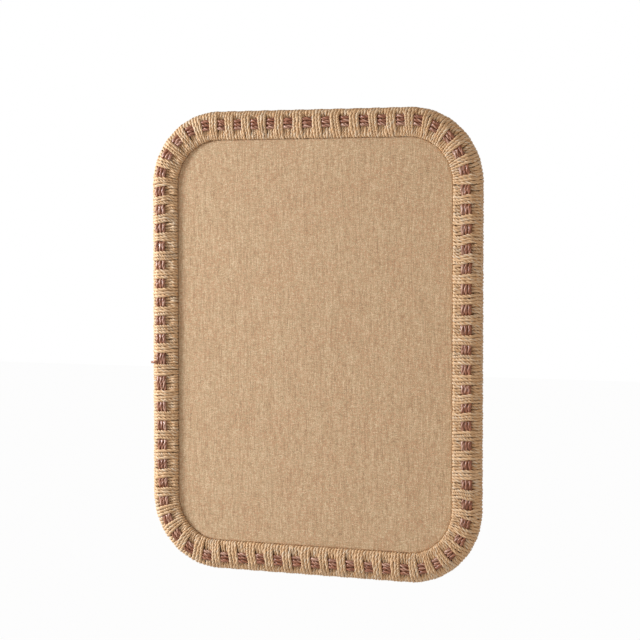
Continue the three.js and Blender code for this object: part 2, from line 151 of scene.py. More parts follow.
@dataclass(frozen=True)
class Graph:
    """A node tree that is written node by node."""

    tree: bpy.types.NodeTree

    def node(
        self,
        kind: str,
        settings: Mapping[str, object] | None = None,
        sockets: Mapping[str | int, object] | None = None,
        take: str | int = 0,
    ) -> Wire:
        """Adds one node.

        Args:
            kind: The node's type name.
            settings: The node's own properties, which are set first.
            sockets: Values or wires for the inputs, by name or index.
            take: The output that is wanted, by name or index.

        Returns:
            The wanted output.
        """
        made = self.tree.nodes.new(kind)
        for name, value in (settings or {}).items():
            setattr(made, name, value)
        for key, value in (sockets or {}).items():
            if isinstance(value, Wire):
                self.tree.links.new(value.socket, made.inputs[key])
            else:
                made.inputs[key].default_value = value
        return Wire(self, made.outputs[take])

    def end(self, kind: str, finished: Wire) -> None:
        """Adds the output node that takes the finished shader or geometry."""
        self.tree.links.new(finished.socket, self.tree.nodes.new(kind).inputs[0])

    def math(self, operation: str, *values: "Wire | float") -> Wire:
        """Adds a Math node."""
        return self.node("ShaderNodeMath", {"operation": operation}, dict(enumerate(values)))

    def vector(
        self, operation: str, *values: "Wire | Sequence[float]", take: str = "Vector"
    ) -> Wire:
        """Adds a Vector Math node."""
        settings = {"operation": operation}
        return self.node("ShaderNodeVectorMath", settings, dict(enumerate(values)), take)

    def scaled(self, vector: Wire, factor: "Wire | float") -> Wire:
        """Multiplies a vector by a number."""
        sockets = {0: vector, "Scale": factor}
        return self.node("ShaderNodeVectorMath", {"operation": "SCALE"}, sockets)

    def joined(self, *values: "Wire | float") -> Wire:
        """Makes a vector of three numbers."""
        return self.node("ShaderNodeCombineXYZ", {}, dict(enumerate(values)))

    def parts(self, vector: Wire) -> tuple[Wire, Wire, Wire]:
        """Takes a vector apart."""
        outputs = self.node("ShaderNodeSeparateXYZ", {}, {0: vector}).socket.node.outputs
        return Wire(self, outputs[0]), Wire(self, outputs[1]), Wire(self, outputs[2])

    def blend(self, share: "Wire | float", first: "Wire | Colour", second: "Wire | Colour") -> Wire:
        """Mixes two colours."""
        settings = {"data_type": "RGBA", "clamp_factor": True}
        return self.node("ShaderNodeMix", settings, {0: share, 6: first, 7: second}, 2)

    def step(self, value: Wire, low: float, high: float, to: tuple[float, float] = (0, 1)) -> Wire:
        """Turns a value smoothly from one number into another between two limits.

        Args:
            value: The value.
            low: The limit where the first number ends.
            high: The limit where the second number starts.
            to: The two numbers.

        Returns:
            The new value.
        """
        limits = {"From Min": low, "From Max": high, "To Min": to[0], "To Max": to[1]}
        settings = {"interpolation_type": "SMOOTHSTEP"}
        return self.node("ShaderNodeMapRange", settings, {"Value": value, **limits})

    def weighted(self, weights: Sequence[float], *values: Wire) -> Wire:
        """Adds up values, each times its own weight."""
        shares = [value * weight for value, weight in zip(values, weights, strict=True)]
        return sum(shares[1:], shares[0])

    def noise(
        self, vector: Wire, scale: float = 1, detail: float = 2, roughness: float = 0.5
    ) -> Wire:
        """Adds a noise texture and takes its value."""
        sockets = {"Vector": vector, "Scale": scale, "Detail": detail, "Roughness": roughness}
        return self.node("ShaderNodeTexNoise", {}, sockets, "Fac")

    def bump(self, height: Wire, distance: float, strength: float = 1) -> Wire:
        """Turns a height into a normal."""
        sockets = {"Height": height, "Distance": distance, "Strength": strength}
        return self.node("ShaderNodeBump", {}, sockets)

    def attribute(self, name: str, take: str = "Fac") -> Wire:
        """Reads one of the mesh's own attributes."""
        return self.node("ShaderNodeAttribute", {"attribute_name": name}, {}, take)

    def place(self) -> Wire:
        """Reads the Object coordinates."""
        return self.node("ShaderNodeTexCoord", {}, {}, "Object")

    def seen(self) -> Wire:
        """Tells the rays that show what they meet from those that light the board.

        Returns:
            1 for rays from the camera, or seen in gloss or through glass, and 0 for the others.
        """
        camera = self.node("ShaderNodeLightPath", {}, {}, "Is Camera Ray")
        outputs = camera.socket.node.outputs
        gloss, glass = (Wire(self, outputs[n]) for n in ("Is Glossy Ray", "Is Transmission Ray"))
        return self.math("MAXIMUM", self.math("MAXIMUM", camera, gloss), glass)


def emptied(owner: bpy.types.Material | bpy.types.World) -> Graph:
    """Turns on the nodes of a material or world, and clears them.

    Args:
        owner: The material or world.

    Returns:
        Its empty node tree.
    """
    owner.use_nodes = True
    owner.node_tree.nodes.clear()
    return Graph(owner.node_tree)


# Finishes


@dataclass(frozen=True)
class Finish:
    """A material made of nodes. Each kind of finish says in paint what varies over it."""

    name: str
    constants: Mapping[str, object] = field(default_factory=dict)

    def paint(self, graph: Graph) -> Mapping[str, Wire]:
        """Gives the shader's sockets that vary over the surface.

        Args:
            graph: The material's node tree.

        Returns:
            Wires by the name of the shader's socket.
        """
        raise NotImplementedError

    def material(self) -> bpy.types.Material:
        """Makes the material on first use.

        Returns:
            The material.
        """
        known = bpy.data.materials.get(self.name)
        if known:
            return known
        made = bpy.data.materials.new(self.name)
        graph = emptied(made)
        sockets = {**self.constants, **self.paint(graph)}
        graph.end("ShaderNodeOutputMaterial", graph.node("ShaderNodeBsdfPrincipled", {}, sockets))
        return made


@dataclass(frozen=True)
class CordFinish(Finish):
    """Plant fibre twisted into a cord: streaks follow the strands, painted shade darkens the
    valleys between strands and the sides next to neighbouring turns, and painted glints lie on the
    strands.

    The limits say between which values of its noise, of the strand's height or of the nearness
    of the neighbouring turn each tone, the painted shade and the painted glints set in. The weights
    are those of the fine and the broad noise, and for the painted glints also those of the strand's
    height and of the turn's tone.
    """

    dark: Colour = srgb(205, 165, 123)
    body: Colour = srgb(220, 189, 151)
    # pale: the colour of the painted glints (highlights) on the strands
    pale: Colour = srgb(211, 204, 189)
    # shade: the painted shade colour, laid in the strands' valleys and beside neighbouring turns
    shade: Colour = srgb(148, 102, 64)
    streaks_round: float = 1.5
    streaks_along: float = 50.0
    broad_round: float = 0.8
    broad_along: float = 0.4
    broad_start: float = 5.0
    body_weights: tuple[float, ...] = (0.7, 0.3)
    glint_weights: tuple[float, ...] = (0.5, 0.4, 0.1, 0.1)
    # shares of the painted shade (strand valleys, sides by neighbouring turns) and of the painted
    # glints
    valley_shade_share: float = 0.42
    flank_shade_share: float = 0.2
    glint_share: float = 0.5
    body_limits: tuple[float, float] = (0.36, 0.58)
    glint_limits: tuple[float, float] = (0.56, 0.7)
    valley_shade_limits: tuple[float, float] = (0.5, 0.0)
    flank_shade_limits: tuple[float, float] = (0.7, 1.05)
    rough_limits: tuple[float, float] = (0.3, 0.7)
    rough: tuple[float, float] = (0.36, 0.66)
    tone_drift: float = 9.0
    fibre_height: float = 0.22 * MM

    def paint(self, graph: Graph) -> Mapping[str, Wire]:
        """Gives the fibre's colour, roughness and relief.

        Args:
            graph: The material's node tree.

        Returns:
            Wires by the name of the shader's socket.
        """
        turn_x, turn_y, _ = graph.parts(graph.attribute("round", "Vector"))
        along = graph.attribute("along")
        tone = graph.attribute("tone")
        strand = graph.attribute("strand")
        flank = graph.attribute("flank")
        drift = tone * self.tone_drift + along * self.streaks_along
        streaks = graph.joined(turn_x, turn_y, drift)
        fine = graph.noise(streaks, self.streaks_round, detail=3, roughness=0.6)
        bands = graph.joined(turn_x, turn_y, drift * self.broad_along + self.broad_start)
        broad = graph.noise(bands, self.broad_round, detail=1)
        lit = graph.step(graph.weighted(self.body_weights, fine, broad), *self.body_limits)
        fibre = graph.blend(lit, self.dark, self.body)
        # painted highlight: pale glints laid over the fibre colour where the noise, strand crest
        # and tone are high
        height = graph.weighted(self.glint_weights, fine, broad, strand, tone)
        glint = graph.step(height, *self.glint_limits) * self.glint_share
        fibre = graph.blend(glint, fibre, self.pale)
        # painted shade: darker in the valleys between strands and on the sides next to neighbouring
        # turns
        valley_shade = graph.step(strand, *self.valley_shade_limits) * self.valley_shade_share
        between_turns_shade = graph.step(flank, *self.flank_shade_limits) * self.flank_shade_share
        colour = graph.blend(graph.math("MAXIMUM", valley_shade, between_turns_shade), fibre, self.shade)
        rough = graph.step(fine, *self.rough_limits, self.rough[::-1])
        return {
            "Base Color": colour,
            "Roughness": rough,
            "Normal": graph.bump(fine, self.fibre_height),
        }


@dataclass(frozen=True)
class LinenFinish(Finish):
    """Coarse plain-woven linen: thick and thin threads, orange flecks and pale slubs.

    The limits say between which values of its noise or of the threads' height each tone sets in.
    The weights are those of the threads' own tones, the fuzz and the streaks, and for the height
    those of the thread on top and of the crossings.
    """

    base: Colour = srgb(202, 176, 139)
    deep: Colour = srgb(154, 124, 92)
    pale: Colour = srgb(238, 220, 184)
    fleck: Colour = srgb(198, 151, 116)
    hole: Colour = srgb(140, 106, 78)
    thread: float = 1.1 * MM
    slant: float = 0.3
    warp_slubs: float = 85.0
    weft_slubs: float = 150.0
    fuzz_scale: float = 1500.0
    wander: float = 14.0
    apart: float = 5.17
    weft_start: float = 3.0
    streaks: float = 22.0
    streaks_apart: float = 3.31
    streaks_start: float = 9.0
    flecks_apart: float = 2.3
    flecks_deep: float = 700.0
    flecks_start: float = 7.0
    tone_weights: tuple[float, ...] = (0.4, 0.44, 0.16)
    crest_weights: tuple[float, ...] = (0.75, 0.25)
    deep_limits: tuple[float, float] = (0.42, 0.49)
    pale_limits: tuple[float, float] = (0.51, 0.58)
    pale_share: float = 0.9
    fleck_limits: tuple[float, float] = (0.47, 0.55)
    patch_scale: float = 30.0
    patch_limits: tuple[float, float] = (0.4, 0.62)
    patch_shares: tuple[float, float] = (0.5, 0.7)
    hole_limits: tuple[float, float] = (0.38, 0.05)
    hole_share: float = 0.4
    thread_height: float = 0.35 * MM
    tone_relief: float = 0.5
    relief_strength: float = 0.7

    def paint(self, graph: Graph) -> Mapping[str, Wire]:
        """Gives the weave's colour and relief.

        Args:
            graph: The material's node tree.

        Returns:
            Wires by the name of the shader's socket.
        """
        place = graph.place()
        x, y, z = graph.parts(place)
        wobble = graph.noise(place, self.wander, detail=1) * self.thread
        across = (x + y + wobble) / self.thread
        along = (z + y * self.slant + wobble) / self.thread
        warp = graph.math("FLOOR", across)
        weft = graph.math("FLOOR", along)
        slubs = graph.joined(warp * self.apart, z * self.warp_slubs, 0.0)
        warp_tone = graph.noise(slubs)
        slubs = graph.joined(x * self.weft_slubs, weft * self.apart, self.weft_start)
        weft_tone = graph.noise(slubs)
        parity = graph.math("MODULO", graph.math("ABSOLUTE", warp + weft), 2)
        warp_crest = graph.math("ABSOLUTE", graph.math("SINE", across * math.pi))
        weft_crest = graph.math("ABSOLUTE", graph.math("SINE", along * math.pi))
        crest = warp_crest * parity + weft_crest * (1 - parity)
        fuzz = graph.noise(graph.scaled(place, self.fuzz_scale))
        lines = graph.joined(warp * self.streaks_apart, z * self.streaks, self.streaks_start)
        streak = graph.noise(lines, detail=1)
        thread_tone = warp_tone * parity + weft_tone * (1 - parity)
        tone = graph.weighted(self.tone_weights, thread_tone, fuzz, streak)
        height = graph.weighted(self.crest_weights, crest, warp_crest * weft_crest)
        cloth = graph.blend(graph.step(tone, *self.deep_limits), self.deep, self.base)
        slub = graph.step(tone, *self.pale_limits) * self.pale_share
        cloth = graph.blend(slub, cloth, self.pale)
        layer = y * self.flecks_deep + self.flecks_start
        spot = graph.noise(
            graph.joined(warp * self.flecks_apart, weft * self.flecks_apart, layer)
        )
        patch = graph.noise(graph.scaled(place, self.patch_scale))
        patch = graph.step(patch, *self.patch_limits, self.patch_shares)
        fleck = graph.step(spot, *self.fleck_limits) * patch
        cloth = graph.blend(fleck, cloth, self.fleck)
        gap = graph.step(height, *self.hole_limits) * self.hole_share
        relief = height + tone * self.tone_relief
        return {
            "Base Color": graph.blend(gap, cloth, self.hole),
            "Normal": graph.bump(relief, self.thread_height, self.relief_strength),
        }


@dataclass(frozen=True)
class GrainFinish(Finish):
    """A pressed or layered board: two tones in a grain that may be drawn out along one axis."""

    light: Colour = srgb(192, 162, 124)
    dark: Colour = srgb(150, 118, 84)
    grain: tuple[float, float, float] = (900, 900, 900)
    contrast: float = 0.16
    clouds: float = 60.0
    cloud_share: float = 0.12
    rough_limits: tuple[float, float] = (0.2, 0.8)
    rough: tuple[float, float] = (0.9, 0.7)
    height: float = 0.12 * MM

    def paint(self, graph: Graph) -> Mapping[str, Wire]:
        """Gives the grain's colour, roughness and relief.

        Args:
            graph: The material's node tree.

        Returns:
            Wires by the name of the shader's socket.
        """
        stretched = graph.vector("MULTIPLY", graph.place(), self.grain)
        fine = graph.noise(stretched, detail=4, roughness=0.6)
        cloud = graph.noise(graph.place(), self.clouds)
        tone = fine * (1 - self.cloud_share) + cloud * self.cloud_share
        share = graph.step(tone, 0.5 - self.contrast, 0.5 + self.contrast)
        return {
            "Base Color": graph.blend(share, self.dark, self.light),
            "Roughness": graph.step(fine, *self.rough_limits, self.rough),
            "Normal": graph.bump(fine, self.height),
        }


@dataclass(frozen=True)
class CorkFinish(Finish):
    """Pressed cork granules with dark pores."""

    light: Colour = srgb(201, 158, 110)
    dark: Colour = srgb(146, 98, 58)
    pore: Colour = srgb(70, 42, 24)
    granules: float = 420.0
    swirls: float = 500.0
    bend: float = 0.8 * MM
    seam_limits: tuple[float, float] = (0.08, 0.0)
    seam_share: float = 0.6
    granule_limits: tuple[float, float] = (0.0, 0.15)
    rough: tuple[float, float] = (0.95, 0.8)
    height: float = 0.3 * MM

    def paint(self, graph: Graph) -> Mapping[str, Wire]:
        """Gives the granules' colour, roughness and relief.

        Args:
            graph: The material's node tree.

        Returns:
            Wires by the name of the shader's socket.
        """
        place = graph.place()
        swirls = {"Vector": place, "Scale": self.swirls}
        swirl = graph.node("ShaderNodeTexNoise", {}, swirls, "Color")
        cells = {
            "Vector": graph.vector("ADD", place, graph.scaled(swirl, self.bend)),
            "Scale": self.granules,
        }
        tone, _, _ = graph.parts(graph.node("ShaderNodeTexVoronoi", {}, cells, "Color"))
        edge = graph.node("ShaderNodeTexVoronoi", {"feature": "DISTANCE_TO_EDGE"}, cells)
        seam = graph.step(edge, *self.seam_limits) * self.seam_share
        colour = graph.blend(tone, self.dark, self.light)
        return {
            "Base Color": graph.blend(seam, colour, self.pore),
            "Roughness": graph.step(tone, 0, 1, self.rough),
            "Normal": graph.bump(graph.step(edge, *self.granule_limits), self.height),
        }


@dataclass(frozen=True)
class MetalFinish(Finish):
    """Zinc-plated steel with a cloudy plating, fine scratches and dull spots."""

    bright: Colour = srgb(206, 206, 200)
    dull: Colour = srgb(158, 157, 150)
    tone_limits: tuple[float, float] = (0.35, 0.65)
    metal_limits: tuple[float, float] = (0.2, 0.3)
    metal: tuple[float, float] = (0.9, 1.0)
    rough_weights: tuple[float, ...] = (0.6, 0.4)
    rough: tuple[float, float] = (0.22, 0.46)
    clouds: float = 260.0
    scratches: tuple[float, float, float] = (3000, 900, 400)
    height: float = 0.02 * MM
    relief_strength: float = 0.5

    def paint(self, graph: Graph) -> Mapping[str, Wire]:
        """Gives the plating's colour, roughness and relief.

        Args:
            graph: The material's node tree.

        Returns:
            Wires by the name of the shader's socket.
        """
        place = graph.place()
        cloud = graph.noise(place, self.clouds, detail=3, roughness=0.6)
        scratch = graph.noise(graph.vector("MULTIPLY", place, self.scratches))
        share = graph.step(cloud, *self.tone_limits)
        wear = graph.weighted(self.rough_weights, cloud, scratch)
        return {
            "Base Color": graph.blend(share, self.dull, self.bright),
            "Metallic": graph.step(cloud, *self.metal_limits, self.metal),
            "Roughness": graph.step(wear, *self.tone_limits, self.rough),
            "Normal": graph.bump(scratch, self.height, self.relief_strength),
        }


@dataclass(frozen=True)
class RubberFinish(Finish):
    """Dark moulded rubber with a fine matt skin and dusty patches."""

    dark: Colour = srgb(38, 36, 33)
    dusty: Colour = srgb(74, 70, 63)
    skin: float = 2600.0
    dust: float = 240.0
    dust_limits: tuple[float, float] = (0.5, 0.7)
    dust_share: float = 0.6
    rough_limits: tuple[float, float] = (0.3, 0.7)
    rough: tuple[float, float] = (0.55, 0.8)
    height: float = 0.05 * MM

    def paint(self, graph: Graph) -> Mapping[str, Wire]:
        """Gives the skin's colour, roughness and relief.

        Args:
            graph: The material's node tree.

        Returns:
            Wires by the name of the shader's socket.
        """
        fine = graph.noise(graph.place(), self.skin)
        dust = graph.noise(graph.place(), self.dust, detail=3)
        share = graph.step(dust, *self.dust_limits) * self.dust_share
        return {
            "Base Color": graph.blend(share, self.dark, self.dusty),
            "Roughness": graph.step(dust, *self.rough_limits, self.rough),
            "Normal": graph.bump(fine, self.height),
        }


NATURAL_CORD = CordFinish("natural_cord_finish", {"Specular IOR Level": 0.12})
BROWN_CORD = CordFinish(
    "brown_cord_finish",
    {"Specular IOR Level": 0.4},
    dark=srgb(122, 74, 52),
    body=srgb(170, 111, 82),
    # pale: the colour of the painted glints on the brown strands
    pale=srgb(222, 196, 178),
    # shade: painted shade between the brown cords and in their strands' valleys
    shade=srgb(54, 31, 22),
    streaks_round=1.7,
    valley_shade_share=0.6,
    flank_shade_share=0.85,
    glint_share=0.5,
    rough=(0.3, 0.5),
)
LINEN = LinenFinish(
    "linen_finish", {"Roughness": 0.92, "Sheen Weight": 0.15, "Specular IOR Level": 0.2}
)
CORK = CorkFinish("cork_finish")
FIBREBOARD = GrainFinish("fibreboard_finish")
PLYWOOD = GrainFinish(
    "plywood_finish",
    light=srgb(222, 190, 142),
    dark=srgb(178, 136, 92),
    grain=(120, 1500, 900),
)
STEEL = MetalFinish("zinc_plated_steel_finish")
RUBBER = RubberFinish("rubber_finish", {"Specular IOR Level": 0.35})


# Meshes


def piece_of(name: str, mesh: bpy.types.Mesh) -> bpy.types.Object:
    """Puts a mesh in the scene as an object.

    Args:
        name: The name of the object and the mesh.
        mesh: The mesh.

    Returns:
        The object.
    """
    mesh.name = name
    made = bpy.data.objects.new(name, mesh)
    bpy.context.scene.collection.objects.link(made)
    return made


def mesh_of(
    name: str,
    points: np.ndarray,
    faces: Sequence[Sequence[int]] = (),
    edges: Sequence[Sequence[int]] = (),
    finish: Finish | None = None,
) -> bpy.types.Object:
    """Makes an object of points and faces, with its faces turned outwards.

    Args:
        name: The object's name.
        points: The points, one a row.
        faces: Point numbers, one list a face.
        edges: Point numbers, one pair an edge, where there are no faces.
        finish: The material, if it has one.

    Returns:
        The object.
    """
    mesh = bpy.data.meshes.new(name)
    mesh.from_pydata(
        np.asarray(points, float).tolist(), [list(e) for e in edges], [list(f) for f in faces]
    )
    if len(faces):
        shell = bmesh.new()
        shell.from_mesh(mesh)
        bmesh.ops.remove_doubles(shell, verts=shell.verts, dist=MERGED)
        bmesh.ops.recalc_face_normals(shell, faces=shell.faces)
        shell.to_mesh(mesh)
        shell.free()
        mesh.shade_smooth()
    if finish:
        mesh.materials.append(finish.material())
    return piece_of(name, mesh)


def loft(
    rings: np.ndarray, closed: bool = True, caps: bool = True
) -> tuple[np.ndarray, list[list[int]]]:
    """Joins rings of points into a skin.

    Args:
        rings: Points as ring, place in the ring, coordinate.
        closed: Whether each ring closes on itself.
        caps: Whether the first and last ring are filled.

    Returns:
        The points and the faces.
    """
    count, size = rings.shape[:2]
    faces = []
    for ring in range(count - 1):
        for spot in range(size if closed else size - 1):
            here, after = ring * size + spot, ring * size + (spot + 1) % size
            faces.append([here, after, after + size, here + size])
    if caps:
        faces.append(list(range(size)))
        faces.append([(count - 1) * size + spot for spot in range(size)])
    return rings.reshape(-1, 3), faces


def lathe(outline: Sequence[tuple[float | np.ndarray, float]], sides: int) -> np.ndarray:
    """Gives the rings of a round part that stands on the Z axis.

    Args:
        outline: Each ring's radius, or the radius of each of its points, and its height.
        sides: The number of points in a ring.

    Returns:
        The rings, as loft takes them.
    """
    turn = np.linspace(0, math.tau, sides, endpoint=False)
    around = np.stack([np.cos(turn), np.sin(turn)], 1)
    return np.array([
        np.column_stack([around * np.reshape(reach, (-1, 1)), np.full(sides, z)])
        for reach, z in outline
    ])


def evaluated(source: bpy.types.Object, name: str) -> bpy.types.Object:
    """Turns an object with modifiers into a plain mesh object.

    Args:
        source: The object, which is removed.
        name: The new object's name.

    Returns:
        The new object.
    """
    depsgraph = bpy.context.evaluated_depsgraph_get()
    depsgraph.update()
    mesh = bpy.data.meshes.new_from_object(source.evaluated_get(depsgraph), depsgraph=depsgraph)
    bpy.data.objects.remove(source)
    return piece_of(name, mesh)


def sharpen(piece: bpy.types.Object, degrees: float) -> None:
    """Shades a piece smooth except across edges sharper than an angle."""
    piece.data.shade_smooth()
    piece.data.set_sharp_from_angle(angle=math.radians(degrees))


def without(piece: bpy.types.Object, cutter: bpy.types.Object) -> bpy.types.Object:
    """Cuts one object out of another.

    Args:
        piece: The object that is cut.
        cutter: The object that is cut out of it, which is removed.

    Returns:
        The cut object.
    """
    name = piece.name
    cut = piece.modifiers.new("cut", "BOOLEAN")
    cut.operation = "DIFFERENCE"
    cut.solver = "EXACT"
    cut.object = cutter
    made = evaluated(piece, name)
    bpy.data.objects.remove(cutter)
    return made


def seat(piece: bpy.types.Object, body: Body, slot: Slot, *nodes: str) -> None:
    """Lets a finished piece ride on its body, in place of the nodes that it stands for.

    Args:
        piece: The finished piece.
        body: The body that carries it.
        slot: The record's slot for its finish; not used.
        *nodes: The nodes that it replaces.
    """
    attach(piece, body.value)
    if nodes:
        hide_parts(*nodes)
    piece.data.calc_loop_triangles()
    LOG.info("%s: %d triangles on %s", piece.name, len(piece.data.loop_triangles), body.value)


# Geometry node recipes


@dataclass
class Recipe:
    """A geometry node tree with named inputs, which turns a guide mesh into a finished piece."""

    name: str
    identifiers: dict[str, str] = field(default_factory=dict)

    def lay(self, graph: Graph, start: Callable[[str, str], Wire]) -> Wire:
        """Lays the tree's nodes.

        Args:
            graph: The tree.
            start: Gives the wire of a named input of a socket type.

        Returns:
            The finished geometry.
        """
        raise NotImplementedError

    def tree(self) -> bpy.types.NodeTree:
        """Makes the tree on first use.

        Returns:
            The tree.
        """
        known = bpy.data.node_groups.get(self.name)
        if known:
            return known
        made = bpy.data.node_groups.new(self.name, "GeometryNodeTree")
        entry = made.nodes.new("NodeGroupInput")
        graph = Graph(made)

        def start(label: str, kind: str) -> Wire:
            """Adds a named input to the tree.

            Args:
                label: The input's name.
                kind: Its socket type.

            Returns:
                The wire that leaves it.
            """
            item = made.interface.new_socket(name=label, in_out="INPUT", socket_type=kind)
            self.identifiers[label] = item.identifier
            return Wire(graph, entry.outputs[label])

        made.interface.new_socket(
            name="Geometry", in_out="OUTPUT", socket_type="NodeSocketGeometry"
        )
        real = graph.node("GeometryNodeRealizeInstances", {}, {0: self.lay(graph, start)})
        sockets = {"Geometry": real, "Material": start("Material", "NodeSocketMaterial")}
        graph.end("NodeGroupOutput", graph.node("GeometryNodeSetMaterial", {}, sockets))
        return made

    @staticmethod
    def read(graph: Graph, name: str, kind: str = "FLOAT_VECTOR") -> Wire:
        """Reads a value that the points keep under a name."""
        return graph.node("GeometryNodeInputNamedAttribute", {"data_type": kind}, {"Name": name})

    def make(self, name: str, guide: bpy.types.Object, **values: object) -> bpy.types.Object:
        """Runs the tree on a guide and gives the piece as a plain mesh.

        Args:
            name: The piece's name.
            guide: The mesh that the tree starts from, which is removed.
            **values: The tree's inputs, with underscores for spaces.

        Returns:
            The piece.
        """
        modifier = guide.modifiers.new(self.name, "NODES")
        modifier.node_group = self.tree()
        for label, value in values.items():
            modifier[self.identifiers[label.replace("_", " ").capitalize()]] = value
        return evaluated(guide, name)


@dataclass
class CordRecipe(Recipe):
    """Sweeps a twisted cord of several strands along the guide's lines.

    The guide's points carry across and beside, the directions that the cord is pressed in and
    that its neighbours lie in; width, its size in the first as a share of the diameter; twist,
    how far it has turned about its own line; swell, a share of its size; and tone, for colour.
    Where the cord is pressed narrower, it bulges the other way.
    """

    bulge: float = 0.25

    def lay(self, graph: Graph, start: Callable[[str, str], Wire]) -> Wire:
        """Lays the tree's nodes.

        Args:
            graph: The tree.
            start: Gives the wire of a named input of a socket type.

        Returns:
            The geometry.
        """
        guide = start("Geometry", "NodeSocketGeometry")
        radius = start("Radius", "NodeSocketFloat")
        strands = start("Strands", "NodeSocketInt")
        relief = start("Strand relief", "NodeSocketFloat")
        power = start("Squareness", "NodeSocketFloat")
        sides = start("Sides", "NodeSocketInt")
        line = graph.node("GeometryNodeMeshToCurve", {}, {"Mesh": guide})
        twist = self.read(graph, "twist", "FLOAT")
        line = graph.node("GeometryNodeSetCurveTilt", {}, {"Curve": line, "Tilt": twist})
        length = graph.node("GeometryNodeSplineParameter", {}, {}, "Length")
        line = self._store(graph, line, "along", "FLOAT", length)
        place = graph.node("GeometryNodeInputPosition")
        line = self._store(graph, line, "centre", "FLOAT_VECTOR", place)

        circle = {"Resolution": sides, "Radius": 1.0}
        ring = graph.node("GeometryNodeCurvePrimitiveCircle", {}, circle)
        corner = graph.node("GeometryNodeSplineParameter", {}, {}, "Index")
        angle = corner / sides * math.tau
        crest = graph.math("ABSOLUTE", graph.math("COSINE", angle * strands / 2))
        round_ = graph.joined(graph.math("COSINE", angle), graph.math("SINE", angle), 0.0)
        ring = self._store(graph, ring, "round", "FLOAT_VECTOR", round_)
        # strand: each strand's crest height; the cord finish paints shade in the valleys and, in
        # part, glints on the crests
        ring = self._store(graph, ring, "strand", "FLOAT", crest)
        reach = radius * (1 - relief * (1 - crest))
        profile = {"Geometry": ring, "Position": graph.scaled(round_, reach)}
        ring = graph.node("GeometryNodeSetPosition", {}, profile)

        sweep = {"Curve": line, "Profile Curve": ring, "Fill Caps": True}
        skin = graph.node("GeometryNodeCurveToMesh", {}, sweep)
        centre = self.read(graph, "centre")
        across = self.read(graph, "across")
        beside = self.read(graph, "beside")
        width = self.read(graph, "width", "FLOAT")
        swell = self.read(graph, "swell", "FLOAT")
        offset = graph.vector("SUBTRACT", place, centre)
        # flank: how far to the side of the cord a point lies; the cord finish paints shade there,
        # next to neighbouring turns
        aside = graph.vector("DOT_PRODUCT", offset, beside, take="Value")
        flank = graph.math("ABSOLUTE", aside) / radius
        skin = self._store(graph, skin, "flank", "FLOAT", flank)
        wide = graph.vector("DOT_PRODUCT", offset, across, take="Value")
        sideways = graph.scaled(across, wide)
        upright = graph.vector("SUBTRACT", offset, sideways)
        tall = graph.vector("LENGTH", upright, take="Value")
        full = graph.math("ABSOLUTE", wide) ** power + tall**power
        root = full ** graph.math("DIVIDE", 1.0, power)
        reach = graph.vector("LENGTH", offset, take="Value")
        square = reach / graph.math("MAXIMUM", root, TINY)
        thick = (1 + self.bulge) - width * self.bulge
        pressed = graph.vector("ADD", graph.scaled(sideways, width), graph.scaled(upright, thick))
        moved = graph.vector("ADD", centre, graph.scaled(pressed, square * swell))
        skin = graph.node("GeometryNodeSetPosition", {}, {"Geometry": skin, "Position": moved})
        for spare in ("centre", "across", "beside", "width", "twist", "swell"):
            skin = graph.node("GeometryNodeRemoveAttribute", {}, {"Geometry": skin, "Name": spare})
        return graph.node("GeometryNodeSetShadeSmooth", {}, {"Geometry": skin})

    @staticmethod
    def _store(graph: Graph, geometry: Wire, name: str, kind: str, value: Wire) -> Wire:
        """Keeps a value on every point under a name."""
        sockets = {"Geometry": geometry, "Name": name, "Value": value}
        return graph.node("GeometryNodeStoreNamedAttribute", {"data_type": kind}, sockets)


@dataclass
class CopiesRecipe(Recipe):
    """Puts a copy of one part on every point, turned by the point's heading and facing."""

    def lay(self, graph: Graph, start: Callable[[str, str], Wire]) -> Wire:
        """Lays the tree's nodes.

        Args:
            graph: The tree.
            start: Gives the wire of a named input of a socket type.

        Returns:
            The geometry.
        """
        guide = start("Geometry", "NodeSocketGeometry")
        part = start("Part", "NodeSocketObject")
        part = graph.node("GeometryNodeObjectInfo", {}, {"Object": part}, "Geometry")
        facing, heading = self.read(graph, "facing"), self.read(graph, "heading")
        turn = graph.node(
            "FunctionNodeAxesToRotation",
            {"primary_axis": "Z", "secondary_axis": "X"},
            {"Primary Axis": facing, "Secondary Axis": heading},
        )
        points = graph.node("GeometryNodeMeshToPoints", {}, {"Mesh": guide})
        copied = {"Points": points, "Instance": part, "Rotation": turn}
        return graph.node("GeometryNodeInstanceOnPoints", {}, copied)


CORD = CordRecipe("twisted_cord")
COPIES = CopiesRecipe("placed_copies")


def keep(piece: bpy.types.Object, name: str, values: np.ndarray) -> None:
    """Keeps numbers or vectors on a guide's points under a name.

    Args:
        piece: The guide.
        name: The name.
        values: A number or a vector for each point.
    """
    kind, key = ("FLOAT_VECTOR", "vector") if values.ndim == 2 else ("FLOAT", "value")
    attribute = piece.data.attributes.new(name, kind, "POINT")
    attribute.data.foreach_set(key, np.ascontiguousarray(values, np.float32).ravel())


def copies(
    name: str, part: bpy.types.Object, places: np.ndarray, headings: np.ndarray
) -> bpy.types.Object:
    """Makes one piece of many copies of a part, each with its Z axis towards the wall.

    Args:
        name: The piece's name.
        part: The part, made round the origin, which is removed.
        places: Where the copies go.
        headings: Where the X axis of each copy points, or of all of them.

    Returns:
        The piece.
    """
    guide = mesh_of(f"{name}_guide", places)
    keep(guide, "heading", np.broadcast_to(headings, places.shape))
    keep(guide, "facing", np.broadcast_to(TO_WALL, places.shape))
    finish = part.data.materials[0]
    made = COPIES.make(name, guide, part=part, material=finish)
    bpy.data.objects.remove(part)
    return made


# The line round the frame


def eased(share: np.ndarray) -> np.ndarray:
    """Makes shares that grow evenly from 0 to 1 start and end softly."""
    return share * share * (3 - 2 * share)


